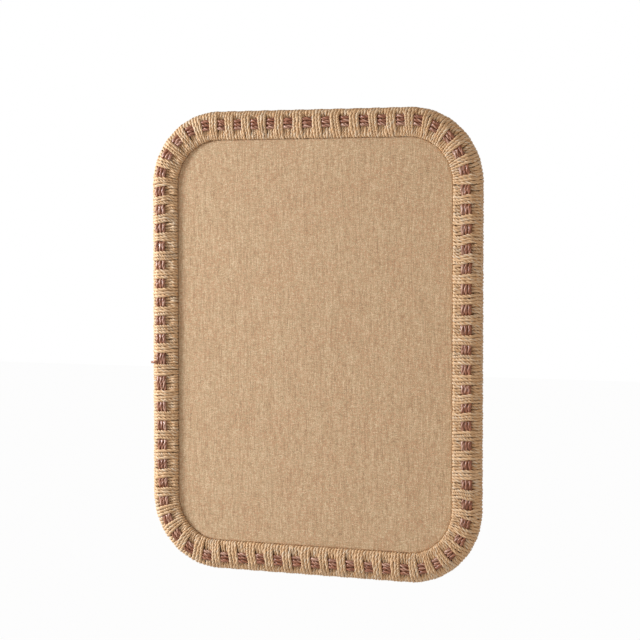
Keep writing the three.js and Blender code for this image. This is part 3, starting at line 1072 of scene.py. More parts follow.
@dataclass(frozen=True)
class RingRoute:
    """The middle brown cord's line, clockwise in the front view, from the top rail's left end."""

    half_width: float = 250 * MM
    half_height: float = 325 * MM
    outer_radius: float = 104 * MM
    guide_inset: float = 17 * MM
    along: np.ndarray = field(
        default_factory=lambda: np.array([[1, 0], [0, -1], [-1, 0], [0, 1]], float)
    )
    inward: np.ndarray = field(
        default_factory=lambda: np.array([[0, -1], [-1, 0], [0, 1], [1, 0]], float)
    )

    @property
    def guide_radius(self) -> float:
        """The radius of the line's corners."""
        return self.outer_radius - self.guide_inset

    @property
    def corner(self) -> np.ndarray:
        """The middle of the upper right corner's arc, from the middle of the board."""
        return np.array([self.half_width, self.half_height]) - self.outer_radius

    @property
    def corner_length(self) -> float:
        """The length of one corner's arc."""
        return self.guide_radius * math.pi / 2

    @property
    def rails(self) -> np.ndarray:
        """The lengths of the four straight rails."""
        return 2 * np.tile(self.corner, 2)

    @property
    def starts(self) -> np.ndarray:
        """The distances at which the four rails start."""
        legs = self.rails + self.corner_length
        return np.concatenate([[0.0], np.cumsum(legs)[:-1]])

    @property
    def length(self) -> float:
        """The length of the whole line."""
        return float(self.rails.sum() + 4 * self.corner_length)

    def legs(self, distance: np.ndarray) -> tuple[np.ndarray, np.ndarray]:
        """Gives the rail that each point lies on or behind, and how far past its end it is.

        Args:
            distance: Distances along the line.

        Returns:
            The rails' numbers, and lengths that are negative on the rails themselves.
        """
        along = np.mod(distance, self.length)
        leg = np.searchsorted(self.starts, along, side="right") - 1
        return leg, along - self.starts[leg] - self.rails[leg]

    def axes(self, distance: np.ndarray) -> tuple[np.ndarray, np.ndarray, np.ndarray]:
        """Gives the line's points, directions and inward directions.

        Args:
            distance: Distances along the line.

        Returns:
            Three arrays of vectors.
        """
        leg, past = self.legs(distance)
        angle = np.maximum(past, 0)[..., None] / self.guide_radius
        after = (leg + 1) % len(self.along)
        tangent = self.along[leg] * np.cos(angle) + self.along[after] * np.sin(angle)
        inward = self.inward[leg] * np.cos(angle) + self.inward[after] * np.sin(angle)
        middle = np.sign(self.along[leg] - self.inward[leg]) * self.corner
        point = middle - inward * self.guide_radius + tangent * np.minimum(past, 0)[..., None]
        return tuple(
            np.stack([v[..., 0], np.zeros(v.shape[:-1]), v[..., 1]], -1)
            for v in (point, tangent, inward)
        )

    def place(self, distance: np.ndarray, depth: np.ndarray, inset: np.ndarray) -> np.ndarray:
        """Gives points round the frame.

        Args:
            distance: Their distances along the line.
            depth: How far out from the wall they are.
            inset: How far in from the frame's outer edge they are.

        Returns:
            The points.
        """
        point, _, inward = self.axes(distance)
        out = depth[..., None] * TO_FRONT
        return point + inward * (inset - self.guide_inset)[..., None] + out

    def tightness(self, distance: np.ndarray, inset: np.ndarray) -> np.ndarray:
        """Gives how long the way round at an inset is, as a share of the line's own length.

        Args:
            distance: Distances along the line.
            inset: How far in from the frame's outer edge the way is.

        Returns:
            1 on the rails, and less or more than 1 in the corners.
        """
        _, past = self.legs(distance)
        return np.where(past > 0, (self.outer_radius - inset) / self.guide_radius, 1.0)


ROUTE = RingRoute()
LEG_NAMES = (
    "top_rail", "top_right_corner", "right_rail", "bottom_right_corner",
    "bottom_rail", "bottom_left_corner", "left_rail", "top_left_corner",
)


@dataclass(frozen=True)
class Weave:
    """How the turns of natural cord take the brown cords: over them and under them in groups.

    A group that passes under leaves a brown square, and one that passes over makes a band. The
    squares are spaced by hand, so their places, in millimetres, are drawn between a few fixed
    ones. The wide squares and bands have more turns than the usual number.
    """

    squares: int = 75
    turns: int = 3
    fixed: tuple[tuple[int, int], ...] = (
        (0, 9), (4, 112), (5, 142), (8, 229), (11, 307), (15, 410), (19, 517), (26, 707),
        (28, 756), (33, 888), (35, 937), (37, 983), (38, 1011), (42, 1118), (43, 1145),
        (45, 1203), (49, 1315), (50, 1346), (51, 1370), (57, 1533), (58, 1562), (60, 1630),
        (61, 1659), (66, 1791), (71, 1923), (74, 1998),
    )
    wide_squares: Mapping[int, int] = field(default_factory=lambda: {59: 5, 60: 4})
    wide_bands: Mapping[int, int] = field(default_factory=lambda: {58: 4, 59: 4})
    jitter: float = 0.35 * MM
    seed: int = 11

    def square_places(self) -> np.ndarray:
        """Draws the places of the brown squares.

        Returns:
            The distances of their middles along the line.
        """
        numbers, places = np.array(self.fixed).T
        spread = np.random.default_rng(self.seed).normal(0, self.jitter, self.squares)
        steady = np.interp(np.arange(self.squares), numbers, places * MM)
        return steady + np.clip(spread, -2 * self.jitter, 2 * self.jitter)

    def turn_places(self) -> tuple[np.ndarray, np.ndarray]:
        """Gives the places of all turns, in order.

        Returns:
            Each turn's distance along the line, and whether it passes over the brown cords.
        """
        middles = self.square_places()
        under = np.full(self.squares, self.turns)
        over = np.full(self.squares, self.turns)
        for counts, wide in ((under, self.wide_squares), (over, self.wide_bands)):
            for number, count in wide.items():
                counts[number] = count
        gaps = np.diff(np.append(middles, middles[0] + ROUTE.length))
        pitch = gaps / (under / 2 + over + np.roll(under, -1) / 2)
        places, above = [], []
        for number, middle in enumerate(middles):
            leads = np.arange(under[number]) - (under[number] - 1) / 2
            places.extend(middle + leads * np.where(leads > 0, pitch[number], pitch[number - 1]))
            follow = under[number] / 2 + 0.5 + np.arange(over[number])
            places.extend(middle + pitch[number] * follow)
            above.extend([False] * under[number] + [True] * over[number])
        around = np.mod(np.array(places), ROUTE.length)
        order = np.argsort(around)
        return around[order], np.array(above)[order]

    def phase(self, distance: np.ndarray) -> np.ndarray:
        """Gives a number that grows by 1 from each brown square to the next.

        Args:
            distance: Distances along the line.

        Returns:
            The number at each distance.
        """
        middles = self.square_places()
        numbers = np.arange(-1, self.squares + 1)
        lap = ROUTE.length
        places = np.concatenate([[middles[-1] - lap], middles, [middles[0] + lap]])
        laps, along = np.divmod(distance, lap)
        return np.interp(along, places, numbers) + laps * self.squares


WEAVE = Weave()


def smooth_noise(
    random: np.random.Generator, rows: int, knots: int, steps: int, reach: int = 0
) -> np.ndarray:
    """Draws a field that varies smoothly along each row, and from row to row.

    Args:
        random: The generator.
        rows: The number of rows.
        knots: The number of free values in a row.
        steps: The number of values that a row is drawn out to.
        reach: Over how many rows the field stays alike, or 0 where each row is its own.

    Returns:
        The field, with a spread of about 1.
    """
    values = random.normal(size=(rows, knots))
    if reach:
        window = np.exp(-0.5 * (np.arange(-3 * reach, 3 * reach + 1) / reach) ** 2)
        window /= math.sqrt((window**2).sum())
        laps = [np.convolve(np.tile(c, 3), window, "same")[rows:2 * rows] for c in values.T]
        values = np.stack(laps, 1)
    spots = np.linspace(0, knots - 1, steps)
    low = np.minimum(spots.astype(int), knots - 2)
    share = eased(spots - low)
    return values[:, low] * (1 - share) + values[:, low + 1] * share


@dataclass(frozen=True)
class CordPath:
    """One line that a cord follows, with what its points carry."""

    points: np.ndarray
    across: np.ndarray
    beside: np.ndarray
    width: np.ndarray
    tone: np.ndarray
    twist: np.ndarray
    swell: np.ndarray


@dataclass(frozen=True)
class TwistedCord:
    """A cord of several strands, as it comes off its spool: its lay is now tighter, now looser.

    Relief is how deep its valleys are, as a share of the radius, and squareness the power that
    rounds its section: 2 for a round one, and more for one that is pressed square. Its lay stays
    alike over lays_alike times its length.
    """

    diameter: float
    strands: int
    relief: float
    squareness: float
    lay_length: float
    lay_spread: float
    sides: int
    finish: CordFinish
    lays_alike: int = 3

    def twist(self, points: np.ndarray, random: np.random.Generator) -> np.ndarray:
        """Gives how far the cord has turned about its own line at each point.

        Args:
            points: The line's points, one a row.
            random: The generator that the lay's spread is drawn with.

        Returns:
            Angles for all points.
        """
        steps = np.linalg.norm(np.diff(points, axis=0, prepend=points[:1]), axis=1)
        knots = max(2, int(steps.sum() / (self.lays_alike * self.lay_length)))
        loose = smooth_noise(random, 1, knots, len(points))[0]
        return np.cumsum(steps * math.tau / self.lay_length * np.exp(self.lay_spread * loose))

    def along(self, name: str, path: CordPath) -> bpy.types.Object:
        """Makes the cord that follows a path.

        Args:
            name: The piece's name.
            path: The path.

        Returns:
            The cord.
        """
        count = len(path.points)
        guide = mesh_of(f"{name}_guide", path.points, edges=[(i, i + 1) for i in range(count - 1)])
        for label in ("across", "beside", "width", "tone", "twist", "swell"):
            keep(guide, label, getattr(path, label))
        return CORD.make(
            name,
            guide,
            radius=self.diameter / 2,
            strands=self.strands,
            strand_relief=self.relief,
            squareness=self.squareness,
            sides=self.sides,
            material=self.finish.material(),
        )


# The winding


@dataclass(frozen=True)
class Winding:
    """The natural cord that is wound round the whole frame, one piece for each rail and corner.

    Each turn runs from the middle of the back over the outer side, the face and the inner side.
    It moves on to the next turn's place partly on the face and for the rest at the back. On the
    outer side it stands out by spread, and where it passes over the brown cords by over_reach
    more on both sides. Where it passes under them, it dips a little between dip_insets.
    """

    cord: TwistedCord = TwistedCord(
        diameter=4.4 * MM,
        strands=3,
        relief=0.32,
        squareness=2.6,
        lay_length=19 * MM,
        lay_spread=0.35,
        sides=12,
        finish=NATURAL_CORD,
    )
    face_width: float = 40 * MM
    back: float = 5 * MM
    front: float = 24.8 * MM
    outer_radius: float = 6.9 * MM
    inner_radius: float = 4.4 * MM
    spread: float = 0.7 * MM
    over_reach: float = 0.4 * MM
    brown_insets: tuple[float, float] = (11.0 * MM, 22.6 * MM)
    brown_rest: float = 24.0 * MM
    dip: float = 0.5 * MM
    dip_insets: tuple[float, float] = (9 * MM, 25 * MM)
    dip_ramp: float = 3.5 * MM
    corner_posts: int = 4
    post_steps: int = 9
    steps: int = 72
    back_step: float = 1.8
    face_advance: float = 0.4
    advance_from: float = 6 * MM
    advance_to: float = 38 * MM
    sway: float = 0.65 * MM
    sway_knots: int = 7
    sway_turns: int = 5
    waver: float = 0.3 * MM
    waver_knots: int = 9
    lift: float = 0.2 * MM
    tone_knots: int = 4
    tone_spread: float = 0.3
    last_step: float = 0.8
    fill: float = 1.12
    side_fill: float = 1.25
    narrowest: float = 0.65
    widest: float = 1.4
    seed: int = 5

    def _posts(self, over: bool) -> np.ndarray:
        """Gives the middles of the small rounds that a turn is drawn taut over.

        Args:
            over: Whether the turn passes over the brown cords.

        Returns:
            Inset and depth of each, from the back over the outer side and the face.
        """
        reach = self.outer_radius - self.inner_radius
        beyond = self.over_reach * over
        near = self.outer_radius - self.spread - beyond
        far = self.face_width - self.inner_radius + beyond
        posts = [
            (near - reach * math.cos(a), self.back + self.outer_radius - reach * math.sin(a))
            for a in np.linspace(math.pi / 2, 0, self.corner_posts)
        ]
        posts += [
            (near - reach * math.cos(a), self.front - self.outer_radius + reach * math.sin(a))
            for a in np.linspace(0, math.pi / 2, self.corner_posts)
        ]
        if over:
            posts += [(inset, self.brown_rest) for inset in self.brown_insets]
        posts += [(far, self.front - self.inner_radius), (far, self.back + self.inner_radius)]
        return np.array(posts)

    def section(self, over: bool) -> np.ndarray:
        """Gives one turn's taut line round the frame, from the middle of the back.

        Args:
            over: Whether the turn passes over the brown cords.

        Returns:
            Inset and depth of its points, which are closer together where they show.
        """
        radius = self.inner_radius - self.cord.diameter / 2
        ring = self._posts(over)
        runs = np.roll(ring, -1, 0) - ring
        lean = np.arctan2(runs[:, 1], runs[:, 0]) + math.pi / 2
        line = [(ring[0] + ring[-1]) / 2 - [0, radius]]
        for number, post in enumerate(ring):
            start, end = lean[number - 1], lean[number]
            end -= math.tau * math.ceil((end - start) / math.tau)
            for angle in np.linspace(start, end, self.post_steps):
                line.append(post + radius * np.array([math.cos(angle), math.sin(angle)]))
        line.append(line[0])
        line = np.array(line)
        runs = np.linalg.norm(np.diff(line, axis=0), axis=1)
        low = self.back + self.outer_radius
        hidden = (line[1:, 1] < low) & (line[:-1, 1] < low)
        lengths = np.concatenate([[0], np.cumsum(np.where(hidden, runs / self.back_step, runs))])
        wanted = np.arange(self.steps) / self.steps * lengths[-1]
        turn = np.stack([np.interp(wanted, lengths, line[:, axis]) for axis in (0, 1)], 1)
        if not over:
            start, end = self.dip_insets
            inside = np.minimum(turn[:, 0] - start, end - turn[:, 0]) / self.dip_ramp
            turn[:, 1] -= self.dip * eased(np.clip(inside + 0.5, 0, 1)) * (turn[:, 1] > low)
        return turn

    def advance(self, section: np.ndarray) -> np.ndarray:
        """Gives how far a turn has moved on to the next one, from -0.5 to 0.5.

        Args:
            section: Inset and depth of the turn's points.

        Returns:
            A share of the distance between turns for each point.
        """
        inset, step, middle = section[:, 0], np.arange(self.steps), self.face_width / 2
        before, beyond = step < np.argmin(inset), step > np.argmax(inset)
        share = np.clip((inset - self.advance_from) / (self.advance_to - self.advance_from), 0, 1)
        on_face = np.where(beyond, 1.0, np.where(before, 0.0, eased(share)))
        setting_out = np.clip(1 - inset / middle, 0, 1) / 2
        coming_back = 1 - np.clip((inset - middle) / middle, 0, 1) / 2
        at_back = np.where(beyond, coming_back, setting_out)
        at_back = np.where((step > np.argmin(inset)) & ~beyond, 0.5, at_back)
        return self.face_advance * on_face + (1 - self.face_advance) * at_back - 0.5

    def build(self) -> None:
        """Makes and seats the eight pieces."""
        random = np.random.default_rng(self.seed)
        places, over = WEAVE.turn_places()
        count = len(places)
        sections = np.stack([self.section(False), self.section(True)])
        advances = np.stack([self.advance(section) for section in sections])
        kind = over.astype(int)
        inset, depth, moved_on = sections[kind, :, 0], sections[kind, :, 1], advances[kind]

        before, after = self._gap(places, 1)[:, None], self._gap(places, -1)[:, None]
        shift = after * np.maximum(moved_on, 0) + before * np.maximum(-moved_on, 0)
        free = np.sin(math.pi * np.arange(self.steps) / self.steps) ** 0.5
        sway = smooth_noise(random, count, self.sway_knots, self.steps, self.sway_turns)
        waver = smooth_noise(random, count, self.waver_knots, self.steps)
        distance = places[:, None] + shift + free * (self.sway * sway + self.waver * waver)
        lift = smooth_noise(random, count, self.waver_knots, self.steps)
        depth = depth + self.lift * free * lift

        tight = ROUTE.tightness(np.broadcast_to(places[:, None], inset.shape), inset)
        gap = self._gap(distance, -1)
        apart = np.abs(np.roll(depth, -1, 0) - depth) > self.cord.diameter / 2
        gap = np.where(apart, self.cord.diameter, gap * tight)
        room = np.minimum(gap, np.roll(gap, 1, 0)) / self.cord.diameter
        side = np.clip((self.front - self.outer_radius / 2 - depth) / self.outer_radius, 0, 1)
        fill = self.fill + (self.side_fill - self.fill) * side
        width = np.clip(room * fill, self.narrowest, self.widest)
        tone = smooth_noise(random, count, self.tone_knots, self.steps)
        tone = np.clip(tone * self.tone_spread + 0.5, 0, 1)

        points = ROUTE.place(distance, depth, inset)
        _, tangent, _ = ROUTE.axes(distance)
        bounds = np.concatenate([[s, s + r] for s, r in zip(ROUTE.starts, ROUTE.rails)])
        leg_of = np.searchsorted(bounds, places, side="right") - 1
        for leg, name in enumerate(LEG_NAMES):
            own = np.flatnonzero(leg_of == leg)
            line = self._run(points, own)
            line[-1] = line[-2] + (line[-1] - line[-2]) * self.last_step
            path = CordPath(
                points=line,
                across=self._run(tangent, own),
                beside=self._run(tangent, own),
                width=self._run(width, own),
                tone=self._run(tone, own),
                twist=self.cord.twist(line, random),
                swell=np.ones(len(line)),
            )
            piece = self.cord.along(f"winding_{name}", path)
            seat(piece, Body.BOARD, Slot.NATURAL_CORD, f"cord_wrap_{name}")

    @staticmethod
    def _run(values: np.ndarray, own: np.ndarray) -> np.ndarray:
        """Lines up the turns of one leg, up to the first point of the next leg."""
        first = values[(own[-1] + 1) % len(values)][:1]
        return np.concatenate([values[own].reshape(-1, *values.shape[2:]), first])

    @staticmethod
    def _gap(places: np.ndarray, step: int) -> np.ndarray:
        """Gives how far round the line the next place lies, or the last one."""
        half = ROUTE.length / 2
        return (np.roll(places, step, 0) - places + half) % ROUTE.length - half


# The woven brown cords


@dataclass(frozen=True)
class WovenCords:
    """Three brown cords that lie side by side along the face, and the cut end of one of them.

    The drift is how far in they lie from their usual line, by the distance along it, and the
    tail's line is its insets and depths, all in millimetres. The tail's sizes are shares of its
    diameter, by the share of its length.
    """

    cord: TwistedCord = TwistedCord(
        diameter=5.2 * MM,
        strands=3,
        relief=0.3,
        squareness=2.2,
        lay_length=23 * MM,
        lay_spread=0.25,
        sides=12,
        finish=BROWN_CORD,
    )
    tail_cord: TwistedCord = TwistedCord(
        diameter=3.5 * MM,
        strands=2,
        relief=0.3,
        squareness=2.0,
        lay_length=8 * MM,
        lay_spread=0.1,
        sides=10,
        finish=BROWN_CORD,
    )
    names: tuple[str, ...] = ("outer", "middle", "inner")
    pitch: float = 4.9 * MM
    middle_depth: float = 23.8 * MM
    swing: float = 2.1 * MM
    squareness: float = 1.2
    flatness: float = 0.86
    step: float = 1.25 * MM
    splice: float = 1611.5 * MM
    end_gap: float = 0.6 * MM
    sway: float = 0.3 * MM
    sway_knots: int = 160
    drift: tuple[tuple[float, float], ...] = (
        (0, 1.7), (60, 1.7), (200, 0), (300, 0), (333, 0.6), (359, 1.0), (384, 3.0), (430, 3.0),
        (540, 2.0), (690, 1.8), (740, 1.4), (800, 1.0), (850, 0.0), (880, 0.8), (905, 0.2),
        (937, 0.2), (985, 1.2), (1010, 1.2), (1041, 0.6), (1097, 0.8), (1156, 1.4), (1189, 1.2),
        (1250, 0.5), (1297, 0.0), (1340, -0.9), (1380, 0.0), (1405, 0.4), (1433, 2.0),
        (1460, 0.5), (1486, -0.6), (1512, 0.0), (1540, -0.8), (1640, -1.8), (1900, -2.3),
        (1970, -0.6), (2015, 1.7),
    )
    seed: int = 23
    tail_place: float = 1625.4 * MM
    tail_steps: int = 40
    tail_softening: int = 7
    tail_lean: float = 1.5 * MM
    tail_line: tuple[tuple[float, float], ...] = (
        (10.5, 24.5), (8.5, 27.2), (6.0, 28.0), (3.2, 27.2), (0.6, 25.2), (-1.4, 22.6),
        (-2.4, 20.4),
    )
    tail_sizes: tuple[tuple[float, float], ...] = ((0, 1), (0.8, 1), (1, 0.7))

    def build(self) -> None:
        """Makes and seats the three cords and the tail."""
        random = np.random.default_rng(self.seed)
        start = self.splice + self.end_gap / 2
        count = round((ROUTE.length - self.end_gap) / self.step)
        distance = np.linspace(start, start + ROUTE.length - self.end_gap, count)
        wave = np.cos(math.tau * WEAVE.phase(distance))
        rise = np.tanh(self.squareness * wave) / math.tanh(self.squareness)
        _, _, inward = ROUTE.axes(distance)
        outward = np.broadcast_to(TO_FRONT, inward.shape)
        steady = np.interp(np.mod(distance, ROUTE.length), *np.array(self.drift).T * MM)
        for number, name in enumerate(self.names):
            drift = steady + self.sway * smooth_noise(random, 1, self.sway_knots, count)[0]
            lift = self.sway / 2 * smooth_noise(random, 1, self.sway_knots, count)[0]
            inset = ROUTE.guide_inset + self.pitch * (number - 1) + drift
            depth = self.middle_depth + self.swing * rise + lift
            line = ROUTE.place(distance, depth, inset)
            path = CordPath(
                points=line,
                across=outward,
                beside=inward,
                width=np.full(count, self.flatness),
                tone=np.full(count, number / 2),
                twist=self.cord.twist(line, random),
                swell=np.ones(count),
            )
            piece = self.cord.along(f"woven_cord_{name}", path)
            seat(piece, Body.BOARD, Slot.BROWN_CORD, f"brown_cord_{name}")
        self._tail(random)

    def _tail(self, random: np.random.Generator) -> None:
        """Makes and seats the cut end that lies over the frame's outer edge.

        Args:
            random: The generator that its lay is drawn with.
        """
        knots = np.array(self.tail_line) * MM
        spots = np.linspace(0, len(knots) - 1, self.tail_steps)
        rough = [np.interp(spots, np.arange(len(knots)), values) for values in knots.T]
        kernel = np.ones(self.tail_softening) / self.tail_softening
        inset, depth = (
            np.convolve(np.pad(values, self.tail_softening // 2, "edge"), kernel, "valid")
            for values in rough
        )
        distance = self.tail_place + np.linspace(0, -self.tail_lean, self.tail_steps)
        _, tangent, _ = ROUTE.axes(distance)
        line = ROUTE.place(distance, depth, inset)
        path = CordPath(
            points=line,
            across=tangent,
            beside=tangent,
            width=np.ones(self.tail_steps),
            tone=np.zeros(self.tail_steps),
            twist=self.tail_cord.twist(line, random),
            swell=np.interp(np.linspace(0, 1, self.tail_steps), *np.array(self.tail_sizes).T),
        )
        piece = self.tail_cord.along("woven_cord_tail", path)
        seat(piece, Body.BOARD, Slot.BROWN_CORD, "brown_cord_tail")


# The pin panel


@dataclass(frozen=True)
class PinPanel:
    """The linen cover, turned round the cork and its backing board and stapled at the back."""

    inset: float = 39.5 * MM
    face: float = 19.5 * MM
    back: float = 7.0 * MM
    edge_radius: float = 2.6 * MM
    edge_steps: int = 5
    thickness: float = 0.8 * MM
    turn: float = 25 * MM
    pleat_height: float = 1.1 * MM
    pleats: int = 9
    hem_steps: int = 6
    hem_unevenness: float = 0.35 * MM
    face_steps: tuple[float, ...] = (6 * MM, 20 * MM, 40 * MM, 58 * MM)
    staple_inset: float = 13 * MM
    staple_spacing: float = 36 * MM
    staple_width: float = 11 * MM
    staple_leg: float = 5 * MM
    staple_bend: float = 0.7 * MM
    staple_steps: int = 4
    staple_wire: tuple[float, float] = (0.6 * MM, 1.2 * MM)
    staple_stand: float = 0.35 * MM
    staple_lean: float = 0.14
    staple_stray: float = 0.8 * MM
    clip_clearance: float = 16 * MM
    rail_steps: int = 12
    corner_steps: int = 32
    seed: int = 31

    def build(self) -> None:
        """Makes and seats the linen and its staples, and dresses the boards behind it."""
        frame["nodes"]["cork_layer"].data.materials[0] = CORK.material()
        frame["nodes"]["backing_board"].data.materials[0] = FIBREBOARD.material()
        self._linen()
        self._staples()

    def _stations(self) -> tuple[np.ndarray, np.ndarray]:
        """Gives the places round the panel at which its profile is drawn.

        Returns:
            Distances along the line, and how far each is through a corner, from 0 to 1.
        """
        places, corners = [], []
        straight = np.arange(self.rail_steps) / self.rail_steps
        bend = np.arange(self.corner_steps) / self.corner_steps
        for start, rail in zip(ROUTE.starts, ROUTE.rails):
            places += [start + rail * straight, start + rail + ROUTE.corner_length * bend]
            corners += [np.zeros(len(straight)), bend]
        return np.concatenate(places), np.concatenate(corners)

    def _profile(self) -> list[tuple[float, float]]:
        """Gives the cloth's outer face in section, from its hem at the back to the panel's face.

        Returns:
            Inset and depth of its points.
        """
        curve = np.linspace(0, math.pi / 2, self.edge_steps)
        radius = self.edge_radius
        near = self.inset + radius
        hem, depth = self.inset + self.turn, self.turn - radius
        line = [(hem - n * depth / self.hem_steps, self.back) for n in range(self.hem_steps)]
        line += [
            (near - radius * math.sin(a), self.back + radius - radius * math.cos(a)) for a in curve
        ]
        line += [(self.inset, (self.back + self.face) / 2)]
        line += [
            (near - radius * math.cos(a), self.face - radius + radius * math.sin(a)) for a in curve
        ]
        return line + [(self.inset + step, self.face) for step in self.face_steps]

    def _linen(self) -> None:
        """Makes and seats the cover."""
        random = np.random.default_rng(self.seed)
        distance, corner = self._stations()
        size = len(distance)
        fullness = 0.5 - 0.5 * np.cos(math.tau * corner * self.pleats)
        wave = np.sin(corner * math.pi) ** 0.5 * fullness
        ragged = random.normal(0, self.hem_unevenness, size)
        rings = []
        for number, (inset, depth) in enumerate(self._profile()):
            lift = self.pleat_height * wave * max(0.0, 1 - number / self.hem_steps)
            edge = ragged if number == 0 else np.zeros(size)
            rings.append(ROUTE.place(distance, depth - lift, inset + edge))
        points, faces = loft(np.array(rings), caps=False)
        faces.append([len(points) - size + spot for spot in range(size)])
        piece = mesh_of("linen_sheet", points, faces, finish=LINEN)
        wall = piece.modifiers.new("cloth thickness", "SOLIDIFY")
        wall.thickness = self.thickness
        wall.offset = -1
        piece = evaluated(piece, "linen_sheet")
        sharpen(piece, degrees=60)
        seat(piece, Body.BOARD, Slot.LINEN, "linen_cover")
        reach = 2 * (self.face - self.back + self.turn) - 2 * self.inset
        width, length = 2 * ROUTE.half_width + reach, 2 * ROUTE.half_height + reach
        bend = ROUTE.outer_radius + reach / 2
        area = width * length - (4 - math.pi) * bend**2

    def _staples(self) -> None:
        """Makes and seats the staples that hold the turned linen."""
        random = np.random.default_rng(self.seed + 1)
        count = round(ROUTE.length / self.staple_spacing)
        distance = (np.arange(count) + 0.5) * ROUTE.length / count
        clips = np.array([fitting.distance for fitting in clip_fittings()])
        half = ROUTE.length / 2
        away = np.abs((distance[:, None] - clips + half) % ROUTE.length - half).min(1)
        distance = distance[away > self.clip_clearance]
        count = len(distance)
        lean = random.normal(0, self.staple_lean, count)
        inset = self.inset + self.staple_inset + random.normal(0, self.staple_stray, count)
        _, tangent, inward = ROUTE.axes(distance)
        heading = tangent * np.cos(lean)[:, None] + inward * np.sin(lean)[:, None]
        places = ROUTE.place(distance, np.full(count, self.back - self.staple_stand), inset)
        piece = copies("linen_staples", self._staple(), places, heading)
        seat(piece, Body.BOARD, Slot.STEEL)

    def _staple(self) -> bpy.types.Object:
        """Makes one staple: a flat wire with rounded shoulders and two legs.

        Returns:
            The staple, with its back on the XY plane and its legs towards -Z.
        """
        half, leg, bend = self.staple_width / 2, self.staple_leg, self.staple_bend
        flat, wide = self.staple_wire[0] / 2, self.staple_wire[1] / 2
        corners = [(-flat, -wide), (flat, -wide), (flat, wide), (-flat, wide)]
        turn = np.linspace(0, math.pi / 2, self.staple_steps)
        right = [(half - bend + bend * math.sin(a), -bend + bend * math.cos(a)) for a in turn]
        line = [(half, -leg)] + right[::-1]
        line += [(-x, z) for x, z in line[::-1]]
        rings = []
        for number, (x, z) in enumerate(line):
            last, after = line[max(number - 1, 0)], line[min(number + 1, len(line) - 1)]
            ahead = np.array(after) - np.array(last)
            normal = np.array([-ahead[1], ahead[0]]) / np.linalg.norm(ahead)
            rings.append([(x + normal[0] * a, b, z + normal[1] * a) for a, b in corners])
        points, faces = loft(np.array(rings))
        piece = mesh_of("staple", points, faces, finish=STEEL)
        sharpen(piece, degrees=40)
        return piece


# Fittings on the back


@dataclass(frozen=True)
class Fitting:
    """Where a fitting stands on the back of the frame."""

    name: str
    distance: float
    inset: float


def clip_fittings(inset: float = 22 * MM, spread: float = 0.45) -> list[Fitting]:
    """Gives the places of the six clips' screws.

    Args:
        inset: How far in from the frame's outer edge they stand.
        spread: How far the side rails' clips stand from the middle, in halves of the rail.

    Returns:
        The places.
    """
    middles = ROUTE.starts + ROUTE.rails / 2
    lead = spread * ROUTE.corner[1]
    return [
        Fitting("top", middles[0], inset),
        Fitting("right_upper", middles[1] - lead, inset),
        Fitting("right_lower", middles[1] + lead, inset),
        Fitting("bottom", middles[2], inset),
        Fitting("left_lower", middles[3] - lead, inset),
        Fitting("left_upper", middles[3] + lead, inset),
    ]


def drill(
    radius: float, along: float = 0.0, reach: float = 10 * MM, sides: int = 32
) -> bpy.types.Object:
    """Makes a round cutter on the Z axis, or beside it, through what lies on the XY plane.

    Args:
        radius: Its radius.
        along: How far along X it stands.
        reach: How far it goes to each side of the plane.
        sides: The number of its sides.

    Returns:
        The cutter.
    """
    points, faces = loft(lathe([(radius, -reach), (radius, reach)], sides))
    return mesh_of("drill", points + [along, 0, 0], faces)


def bent_strip(
    name: str,
    line: np.ndarray,
    width: float,
    thickness: float,
    rounding: float,
    ease: float,
    corner_steps: int = 6,
    columns: int = 7,
) -> bpy.types.Object:
    """Makes a bent strip of zinc-plated sheet metal with rounded corners and eased edges.

    Args:
        name: The object's name.
        line: The strip's outer face in its own XZ plane, as points.
        width: Its width, along Y.
        thickness: Its thickness behind that face, or before it where it is negative.
        rounding: The radius of its corners.
        ease: The width of its bevelled edges.
        corner_steps: The number of points along a rounded corner.
        columns: The number of points across the strip.

    Returns:
        The strip.
    """
    lengths = np.concatenate([[0], np.cumsum(np.linalg.norm(np.diff(line, axis=0), axis=1))])
    turn = np.linspace(0, math.pi / 2, corner_steps)
    ends = rounding * (1 - np.cos(turn))
    stations = np.unique(np.round(np.concatenate([ends, lengths, lengths[-1] - ends]), decimals=7))
    half = np.full(len(stations), width / 2)
    near = np.minimum(stations, lengths[-1] - stations)
    inside = near < rounding
    half[inside] -= rounding - np.sqrt(np.maximum(rounding**2 - (rounding - near[inside]) ** 2, 0))
    spine = np.stack([np.interp(stations, lengths, line[:, axis]) for axis in (0, 1)], 1)
    across = np.linspace(-1, 1, columns)
    grid = np.array([[(x, h * share, z) for share in across] for (x, z), h in zip(spine, half)])
    points, faces = loft(grid, closed=False, caps=False)
    piece = mesh_of(name, points, faces, finish=STEEL)
    wall = piece.modifiers.new("plate", "SOLIDIFY")
    wall.thickness = abs(thickness)
    wall.offset = math.copysign(1, thickness)
    bevel = piece.modifiers.new("eased edge", "BEVEL")
    bevel.width = ease
    bevel.segments = 2
    bevel.limit_method = "ANGLE"
    bevel.angle_limit = math.radians(50)
    return evaluated(piece, name)


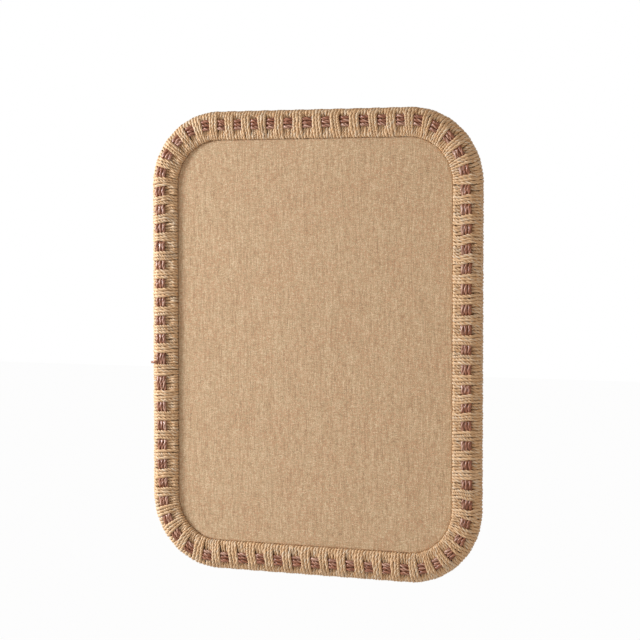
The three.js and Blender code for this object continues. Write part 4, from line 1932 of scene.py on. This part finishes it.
@dataclass(frozen=True)
class BackFittings:
    """The clips that hold the panel, the screws, and the feet that keep the board off the wall."""

    clip_line: tuple[tuple[float, float], ...] = (
        (15, 0), (31.9, 0), (33.7, 0.12), (39.9, 1.88), (41.7, 2), (55.5, 2),
    )
    clip_width: float = 14 * MM
    clip_thickness: float = 1.2 * MM
    clip_rounding: float = 2.2 * MM
    clip_ease: float = 0.22 * MM
    head_radius: float = 3.2 * MM
    head_height: float = 2.0 * MM
    head_rim: float = 0.55 * MM
    head_chamfer: tuple[float, float] = (0.25 * MM, 0.2 * MM)
    dome_shares: tuple[float, float] = (0.15, 0.97)
    dome_steps: int = 9
    neck_share: float = 0.8
    screw_radius: float = 1.5 * MM
    screw_length: float = 14 * MM
    screw_tip: float = 3 * MM
    tip_radius: float = 0.02 * MM
    screw_sides: int = 28
    thread_pitch: float = 1.3 * MM
    thread_depth: float = 0.26
    thread_width: float = 0.22
    thread_end: float = 0.2 * MM
    thread_steps: int = 70
    recess_reach: float = 1.75 * MM
    recess_depth: float = 1.25 * MM
    recess_taper: float = 0.45
    recess_over: float = 0.4 * MM
    blade_half: float = 0.36 * MM
    foot_radius: float = 6 * MM
    foot_rounding: float = 1.2 * MM
    foot_steps: int = 6
    foot_chamfer: float = 0.3 * MM
    foot_pole: float = 0.01 * MM
    foot_sides: int = 40
    foot_hollow: tuple[tuple[float, float], ...] = ((0, 0.55), (1.6, 0.55), (2.1, 0.15), (2.6, 0))
    stem_radius: float = 2.5 * MM
    stem_length: float = 11 * MM
    stem_chamfer: float = 1 * MM
    frame_back: float = 5 * MM
    seat_gap: float = 0.3 * MM
    seed: int = 3

    def build(self) -> None:
        """Makes and seats the clips, screws and feet."""
        self._clips()
        self._screws()
        self._feet()

    def _clips(self) -> None:
        """Makes and seats the six clips."""
        fittings = clip_fittings()
        base = np.array(self.clip_line) * MM
        line = np.stack([base[:, 0] - fittings[0].inset, -base[:, 1]], 1)
        clip = bent_strip(
            "clip", line, self.clip_width, self.clip_thickness, self.clip_rounding, self.clip_ease
        )
        clip = without(clip, drill(self.screw_radius + self.seat_gap))
        sharpen(clip, degrees=40)
        distance = np.array([fitting.distance for fitting in fittings])
        inset = np.array([fitting.inset for fitting in fittings])
        _, _, inward = ROUTE.axes(distance)
        depth = np.full(len(distance), self.frame_back - self.seat_gap)
        piece = copies("retaining_clips", clip, ROUTE.place(distance, depth, inset), inward)
        seat(piece, Body.BOARD, Slot.STEEL, *(f"panel_clip_{fitting.name}" for fitting in fittings))

    def _screw(self) -> bpy.types.Object:
        """Makes one screw, tip first.

        Returns:
            The screw, with its head's underside on the XY plane and its tip towards -Z.
        """
        radius, head, rim = self.screw_radius, self.head_radius, self.head_rim
        turn = np.linspace(0, math.tau, self.screw_sides, endpoint=False)
        outline = []
        for z in -np.linspace(self.thread_end, self.screw_length, self.thread_steps)[::-1]:
            taper = min(1.0, (z + self.screw_length) / self.screw_tip)
            ridge = np.abs(np.mod((z / self.thread_pitch) + turn / math.tau, 1) - 0.5)
            crest = np.maximum(0, 1 - ridge / self.thread_width)
            bite = (1 - self.thread_depth) + self.thread_depth * crest
            outline.append((np.maximum(radius * bite * taper, self.tip_radius), z))
        inward, upward = self.head_chamfer
        neck = radius * self.neck_share
        outline += [(neck, 0), (head - inward, 0), (head, upward), (head, rim)]
        for share in np.linspace(*self.dome_shares, self.dome_steps):
            lean = share * math.pi / 2
            dome = rim + (self.head_height - rim) * math.sin(lean)
            outline.append((head * math.cos(lean), dome))
        points, faces = loft(lathe(outline, self.screw_sides))
        screw = mesh_of("screw", points, faces, finish=STEEL)
        for lean in (0, math.pi / 2):
            screw = without(screw, self._blade(lean))
        sharpen(screw, degrees=35)
        return screw

    def _blade(self, lean: float) -> bpy.types.Object:
        """Makes a tapered cutter for one slot of the cross recess.

        Args:
            lean: How far it is turned about the Z axis.

        Returns:
            The cutter.
        """
        top, arm, half = self.head_height, self.recess_reach, self.blade_half
        across, up = math.cos(lean), math.sin(lean)
        rings = []
        low, high = top - self.recess_depth, top + self.recess_over
        for z, reach in ((low, self.recess_taper * arm), (high, arm)):
            corners = [(-reach, -half), (reach, -half), (reach, half), (-reach, half)]
            rings.append([(x * across - y * up, x * up + y * across, z) for x, y in corners])
        points, faces = loft(np.array(rings))
        return mesh_of("blade", points, faces)

    def _screws(self) -> None:
        """Makes and seats the six clip screws and the two hanger screws."""
        names, places, headings = [], [], []
        random = np.random.default_rng(self.seed)
        for name, box in ((n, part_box(n)) for n in frame["nodes"] if "_screw_" in n):
            low, high = box
            names.append(name)
            head = high.y - self.head_height
            places.append([(low.x + high.x) / 2, head, (low.z + high.z) / 2])
            lean = random.uniform(0, math.pi)
            headings.append([math.cos(lean), 0, math.sin(lean)])
        piece = copies("fixing_screws", self._screw(), np.array(places), np.array(headings))
        seat(piece, Body.BOARD, Slot.STEEL, *names)

    def _feet(self) -> None:
        """Makes and seats the four rubber feet."""
        reach, bend, stem = self.foot_radius, self.foot_rounding, self.stem_radius
        tall = self.frame_back - self.seat_gap
        outline = [(radius * MM, depth * MM) for radius, depth in self.foot_hollow]
        outline += [
            (reach - bend + bend * math.sin(a), bend - bend * math.cos(a))
            for a in np.linspace(0, math.pi / 2, self.foot_steps)
        ]
        chamfer, end = self.foot_chamfer, tall + self.stem_length
        outline += [(reach, tall - chamfer), (reach - chamfer, tall), (stem, tall)]
        outline += [(stem, end - self.stem_chamfer), (stem - self.stem_chamfer, end)]
        rings = lathe([(max(radius, self.foot_pole), -z) for radius, z in outline], self.foot_sides)
        points, faces = loft(rings)
        foot = mesh_of("foot", points, faces, finish=RUBBER)
        sharpen(foot, degrees=40)
        names = [n for n in frame["nodes"] if n.startswith("wall_bumper_")]
        boxes = [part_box(n) for n in names]
        places = np.array([[(low.x + high.x) / 2, 0, (low.z + high.z) / 2] for low, high in boxes])
        piece = copies("rubber_feet", foot, places, TO_RIGHT)
        seat(piece, Body.BOARD, Slot.RUBBER, *names)


@dataclass(frozen=True)
class Hangers:
    """Two straps screwed to the frame, each with a D-ring that swings in its curled end."""

    strap_width: float = 11 * MM
    strap_rounding: float = 2.4 * MM
    strap_ease: float = 0.15 * MM
    thickness: float = 0.8 * MM
    foot: float = 27 * MM
    wire_radius: float = 1.2 * MM
    wire_sides: int = 18
    curl_angle: float = 1.5 * math.pi
    curl_steps: int = 22
    gap: float = 0.3 * MM
    half_width: float = 9.2 * MM
    bend: float = 2.6 * MM
    bend_steps: int = 9
    bow_steps: int = 44
    side: float = 4 * MM
    joint: float = 0.4 * MM
    screw_drop: float = 21 * MM
    screw_hole: float = 1.8 * MM

    def build(self) -> None:
        """Makes and seats the straps and the rings."""
        bodies = {"left": Body.LEFT_RING, "right": Body.RIGHT_RING}
        joints = {joint["child"]: joint for joint in frame["joints"]}
        pivots = {side: Vector(joints[body.value]["pos_m"]) for side, body in bodies.items()}
        for side, body in bodies.items():
            seat(self._ring(side, pivots[side]), body, Slot.STEEL, f"hanger_ring_{side}")
        places = np.array([list(pivot) for pivot in pivots.values()])
        piece = copies("hanger_straps", self._strap(), places, UPWARDS)
        seat(piece, Body.BOARD, Slot.STEEL, *(f"hanger_strap_{side}" for side in bodies))

    def _strap(self) -> bpy.types.Object:
        """Makes one strap, with its curl round the ring's bar at the origin.

        Returns:
            The strap, with X up and Z to the wall.
        """
        outer = self.wire_radius + self.gap + self.thickness
        angles = np.linspace(0, self.curl_angle, self.curl_steps)
        curl = [(outer * math.sin(a), -outer * math.cos(a)) for a in angles]
        line = np.array([(-self.foot, -outer), (-self.foot / 2, -outer), *curl])
        strap = bent_strip(
            "strap", line, self.strap_width, -self.thickness, self.strap_rounding, self.strap_ease
        )
        strap = without(strap, drill(self.screw_hole, -self.screw_drop))
        sharpen(strap, degrees=40)
        return strap

    def _ring(self, side: str, pivot: Vector) -> bpy.types.Object:
        """Makes one D-ring: a straight bar with its joint in the curl, and a round bow below.

        Args:
            side: The hanger's side.
            pivot: The middle of the bar.

        Returns:
            The ring.
        """
        half, bend, drop = self.half_width, self.bend, self.side
        corner = np.linspace(0, math.pi / 2, self.bend_steps)
        bow = np.linspace(0, math.pi, self.bow_steps)
        line = [(self.joint / 2, 0.0)]
        line += [(half - bend + bend * math.sin(a), -bend + bend * math.cos(a)) for a in corner]
        line += [(half * math.cos(a), -drop - half * math.sin(a)) for a in bow]
        line += [(-half + bend - bend * math.cos(a), -bend + bend * math.sin(a)) for a in corner]
        line += [(-self.joint / 2, 0.0)]
        spine = np.array(line)
        ahead = np.gradient(spine, axis=0)
        ahead /= np.linalg.norm(ahead, axis=1)[:, None]
        turn = np.linspace(0, math.tau, self.wire_sides, endpoint=False)
        rings = []
        for (x, z), (dx, dz) in zip(spine, ahead):
            out = np.cos(turn)[:, None] * np.array([-dz, 0, dx]) + np.sin(turn)[:, None] * TO_WALL
            rings.append(np.array([x, 0, z]) + self.wire_radius * out + np.array(pivot))
        points, faces = loft(np.array(rings))
        piece = mesh_of(f"hanger_d_ring_{side}", points, faces, finish=STEEL)
        sharpen(piece, degrees=60)
        return piece


def dress_core() -> None:
    """Gives the hidden core and its tongues their boards' finishes."""
    for name, node in frame["nodes"].items():
        if name.startswith("core_"):
            finish = PLYWOOD if "spline" in name else FIBREBOARD
            node.data.materials.clear()
            node.data.materials.append(finish.material())


# The studio


@dataclass(frozen=True)
class Studio:
    """The camera, the lamps, the pale floor and the white surroundings."""

    azimuth: float = 24.02
    elevation: float = 2.68
    distance: float = 2.864
    aim: tuple[float, float, float] = (6.6 * MM, -5 * MM, 32.2 * MM)
    focal_pixels: float = 2046.0
    picture: float = 640.0
    sensor: float = 36.0
    view_depth: float = 100.0
    floor_drop: float = 0.9
    floor_size: float = 30.0
    floor_tone: Colour = (0.85, 0.85, 0.85, 1.0)
    floor_glow: float = 0.97
    ambient: float = 0.47
    tint: Colour = (0.99, 0.885, 0.8, 1.0)
    key_power: float = 58.5
    key_tint: tuple[float, float, float] = (0.925, 0.955, 1.0)
    key_place: tuple[float, float, float] = (-1.8, -0.62, 0.36)
    key_size: float = 0.48
    fill_power: float = 6.5
    fill_tint: tuple[float, float, float] = (1.0, 0.86, 0.72)
    fill_place: tuple[float, float, float] = (1.6, -1.5, 0.2)
    fill_size: float = 0.9

    def build(self) -> None:
        """Sets the camera, the lamps, the floor and the world."""
        self._camera()
        self._lamps()
        self._floor()
        self._world()
        bpy.context.scene.view_settings.view_transform = "Standard"

    def _camera(self) -> None:
        """Stands the camera where the photograph was taken from."""
        a, e = math.radians(self.azimuth), math.radians(self.elevation)
        back = Vector((math.sin(a) * math.cos(e), -math.cos(a) * math.cos(e), math.sin(e)))
        lens = bpy.data.cameras.new("camera")
        lens.sensor_width = self.sensor
        lens.lens = self.focal_pixels / self.picture * self.sensor
        lens.clip_end = self.view_depth
        camera = bpy.data.objects.new("camera", lens)
        camera.location = Vector(self.aim) + back * self.distance
        camera.rotation_euler = (-back).to_track_quat("-Z", "Y").to_euler()
        bpy.context.scene.collection.objects.link(camera)
        bpy.context.scene.camera = camera

    def _lamps(self) -> None:
        """Hangs the soft key lamp to the left and a weak warm one to the right."""
        self._lamp("key_lamp", self.key_place, self.key_size, self.key_power, self.key_tint)
        self._lamp("fill_lamp", self.fill_place, self.fill_size, self.fill_power, self.fill_tint)

    @staticmethod
    def _lamp(
        name: str,
        place: tuple[float, float, float],
        size: float,
        power: float,
        tint: tuple[float, float, float],
    ) -> None:
        """Hangs one round lamp that points at the board.

        Args:
            name: The lamp's name.
            place: Where it hangs, in metres.
            size: Its diameter.
            power: Its power in watts.
            tint: Its colour.
        """
        lamp = bpy.data.lights.new(name, "AREA")
        lamp.shape = "DISK"
        lamp.size = size
        lamp.energy = power
        lamp.color = tint
        light = bpy.data.objects.new(name, lamp)
        light.location = place
        light.rotation_euler = (-Vector(place)).to_track_quat("-Z", "Y").to_euler()
        bpy.context.scene.collection.objects.link(light)

    def _floor(self) -> None:
        """Lays the pale floor."""
        half = self.floor_size / 2
        level = -ROUTE.half_height - self.floor_drop
        corners = [(-half, -half), (half, -half), (half, half), (-half, half)]
        floor = mesh_of("floor", np.array([(x, y, level) for x, y in corners]), [[0, 1, 2, 3]])
        made = bpy.data.materials.new("floor_finish")
        graph = emptied(made)
        matt = graph.node("ShaderNodeBsdfDiffuse", {}, {"Color": self.floor_tone})
        glow = graph.node("ShaderNodeEmission", {}, {"Color": WHITE, "Strength": 1.0})
        mixed = {0: graph.seen() * self.floor_glow, 1: matt, 2: glow}
        graph.end("ShaderNodeOutputMaterial", graph.node("ShaderNodeMixShader", {}, mixed))
        floor.data.materials.append(made)

    def _world(self) -> None:
        """Surrounds the board with even light that the camera sees as white."""
        world = bpy.data.worlds.new("studio")
        bpy.context.scene.world = world
        graph = emptied(world)
        seen = graph.seen()
        level = seen * (1 - self.ambient) + self.ambient
        sockets = {"Color": graph.blend(seen, self.tint, WHITE), "Strength": level}
        graph.end("ShaderNodeOutputWorld", graph.node("ShaderNodeBackground", {}, sockets))


def main() -> None:
    """Builds the studio and every sub-assembly."""
    logging.basicConfig(level=logging.INFO, format="%(message)s")
    Studio().build()
    dress_core()
    Winding().build()
    WovenCords().build()
    PinPanel().build()
    BackFittings().build()
    Hangers().build()


if __name__ == "__main__":
    main()
